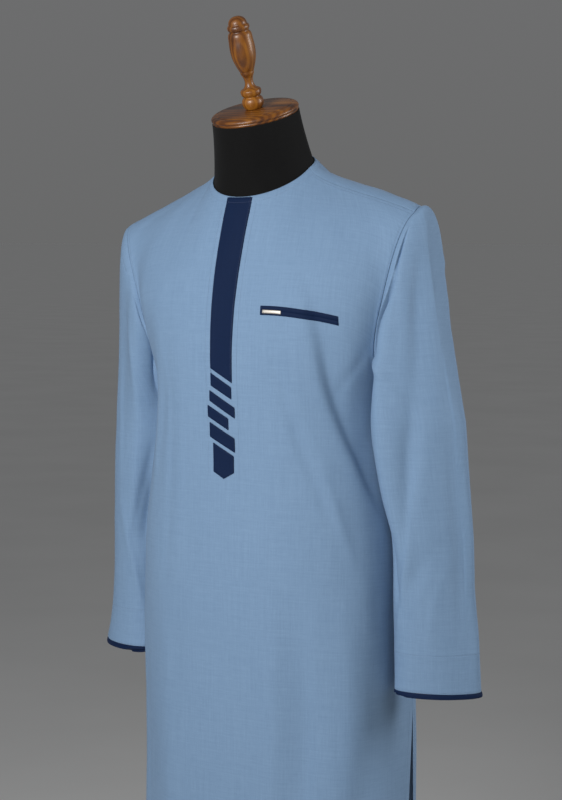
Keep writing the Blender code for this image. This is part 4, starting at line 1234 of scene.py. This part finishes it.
# The pole from the base up into the form, in mm as the profiles are
top = (FORM_BOTTOM_Z - PART_GAP) / MM
low = BASE_PROFILE[0][0] + PART_GAP / MM
POLE_RADIUS = 16
BEVEL = 0.8
pole_profile = (
    (top, 0, 1), (top, POLE_RADIUS - BEVEL, 1), (top - BEVEL, POLE_RADIUS, 1),
    (low + BEVEL, POLE_RADIUS, 1), (low, POLE_RADIUS - BEVEL, 1), (low, 0, 1),
)
turned_piece("pole", pole_profile, DARK_STEEL, "dark_steel", "stand_pole")


def area_light(name, place, aim, size, power):
    """A soft rectangular light that faces its aim."""
    light = bpy.data.lights.new(name, "AREA")
    light.shape = "RECTANGLE"
    light.size, light.size_y = size
    light.spread = BEAM
    light.energy = power
    obj = link(bpy.data.objects.new(name, light))
    obj.location = place
    obj.rotation_euler = (Vector(aim) - Vector(place)).to_track_quat("-Z", "Y").to_euler()


# Stage
FLOOR_SIZE = 900.0
BEAM = math.radians(120)
bpy.ops.mesh.primitive_plane_add(size=FLOOR_SIZE, location=(0, 0, 0))
floor = bpy.context.object
floor.name = "floor"
FLOOR_SHADES = ((0.35, (0.79, 0.79, 0.78)), (0.65, (0.82, 0.82, 0.81)))
floor.data.materials.append(surface(
    "floor_finish", [((1.5, 1.5, 1.5), 3, 1, 0)], FLOOR_SHADES, Roughness=0.9, Specular_IOR_Level=0.1
))
floor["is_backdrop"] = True
world = bpy.data.worlds.new("studio")
world.use_nodes = True
sky = world.node_tree
look = node(sky, "TexCoord").outputs["Generated"]
height = node(sky, "SeparateXYZ", [("Vector", look)]).outputs["Z"]
tone = ramp(
    sky, height, (0, (0.1422, 0.1435, 0.144)), (0.12, (0.152, 0.153, 0.155)), (0.6, (0.18, 0.182, 0.186))
)
sky.links.new(tone, sky.nodes["Background"].inputs["Color"])
bpy.context.scene.world = world
area_light("key", (0.05, -2.6, 1.9), (0.0, 0.0, 1.5), (1.2, 1.2), 28.5)
area_light("near", (2.05, 1.1, 2.00), (0.1, 0.0, 1.15), (0.9, 1.2), 12.5)

# Camera at the photograph's angle
LENS = 91.2
camera = bpy.data.cameras.new("camera")
camera.lens = LENS
camera.sensor_width = 36.0
camera.clip_end = 2000.0
viewer = link(bpy.data.objects.new("camera", camera))
viewer.location = (1.6091, -2.2853, 1.405)
viewer.rotation_euler = (math.radians(85.45), 0, math.radians(34.92))
bpy.context.scene.camera = viewer
bpy.context.scene.view_settings.view_transform = "Standard"

low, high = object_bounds()
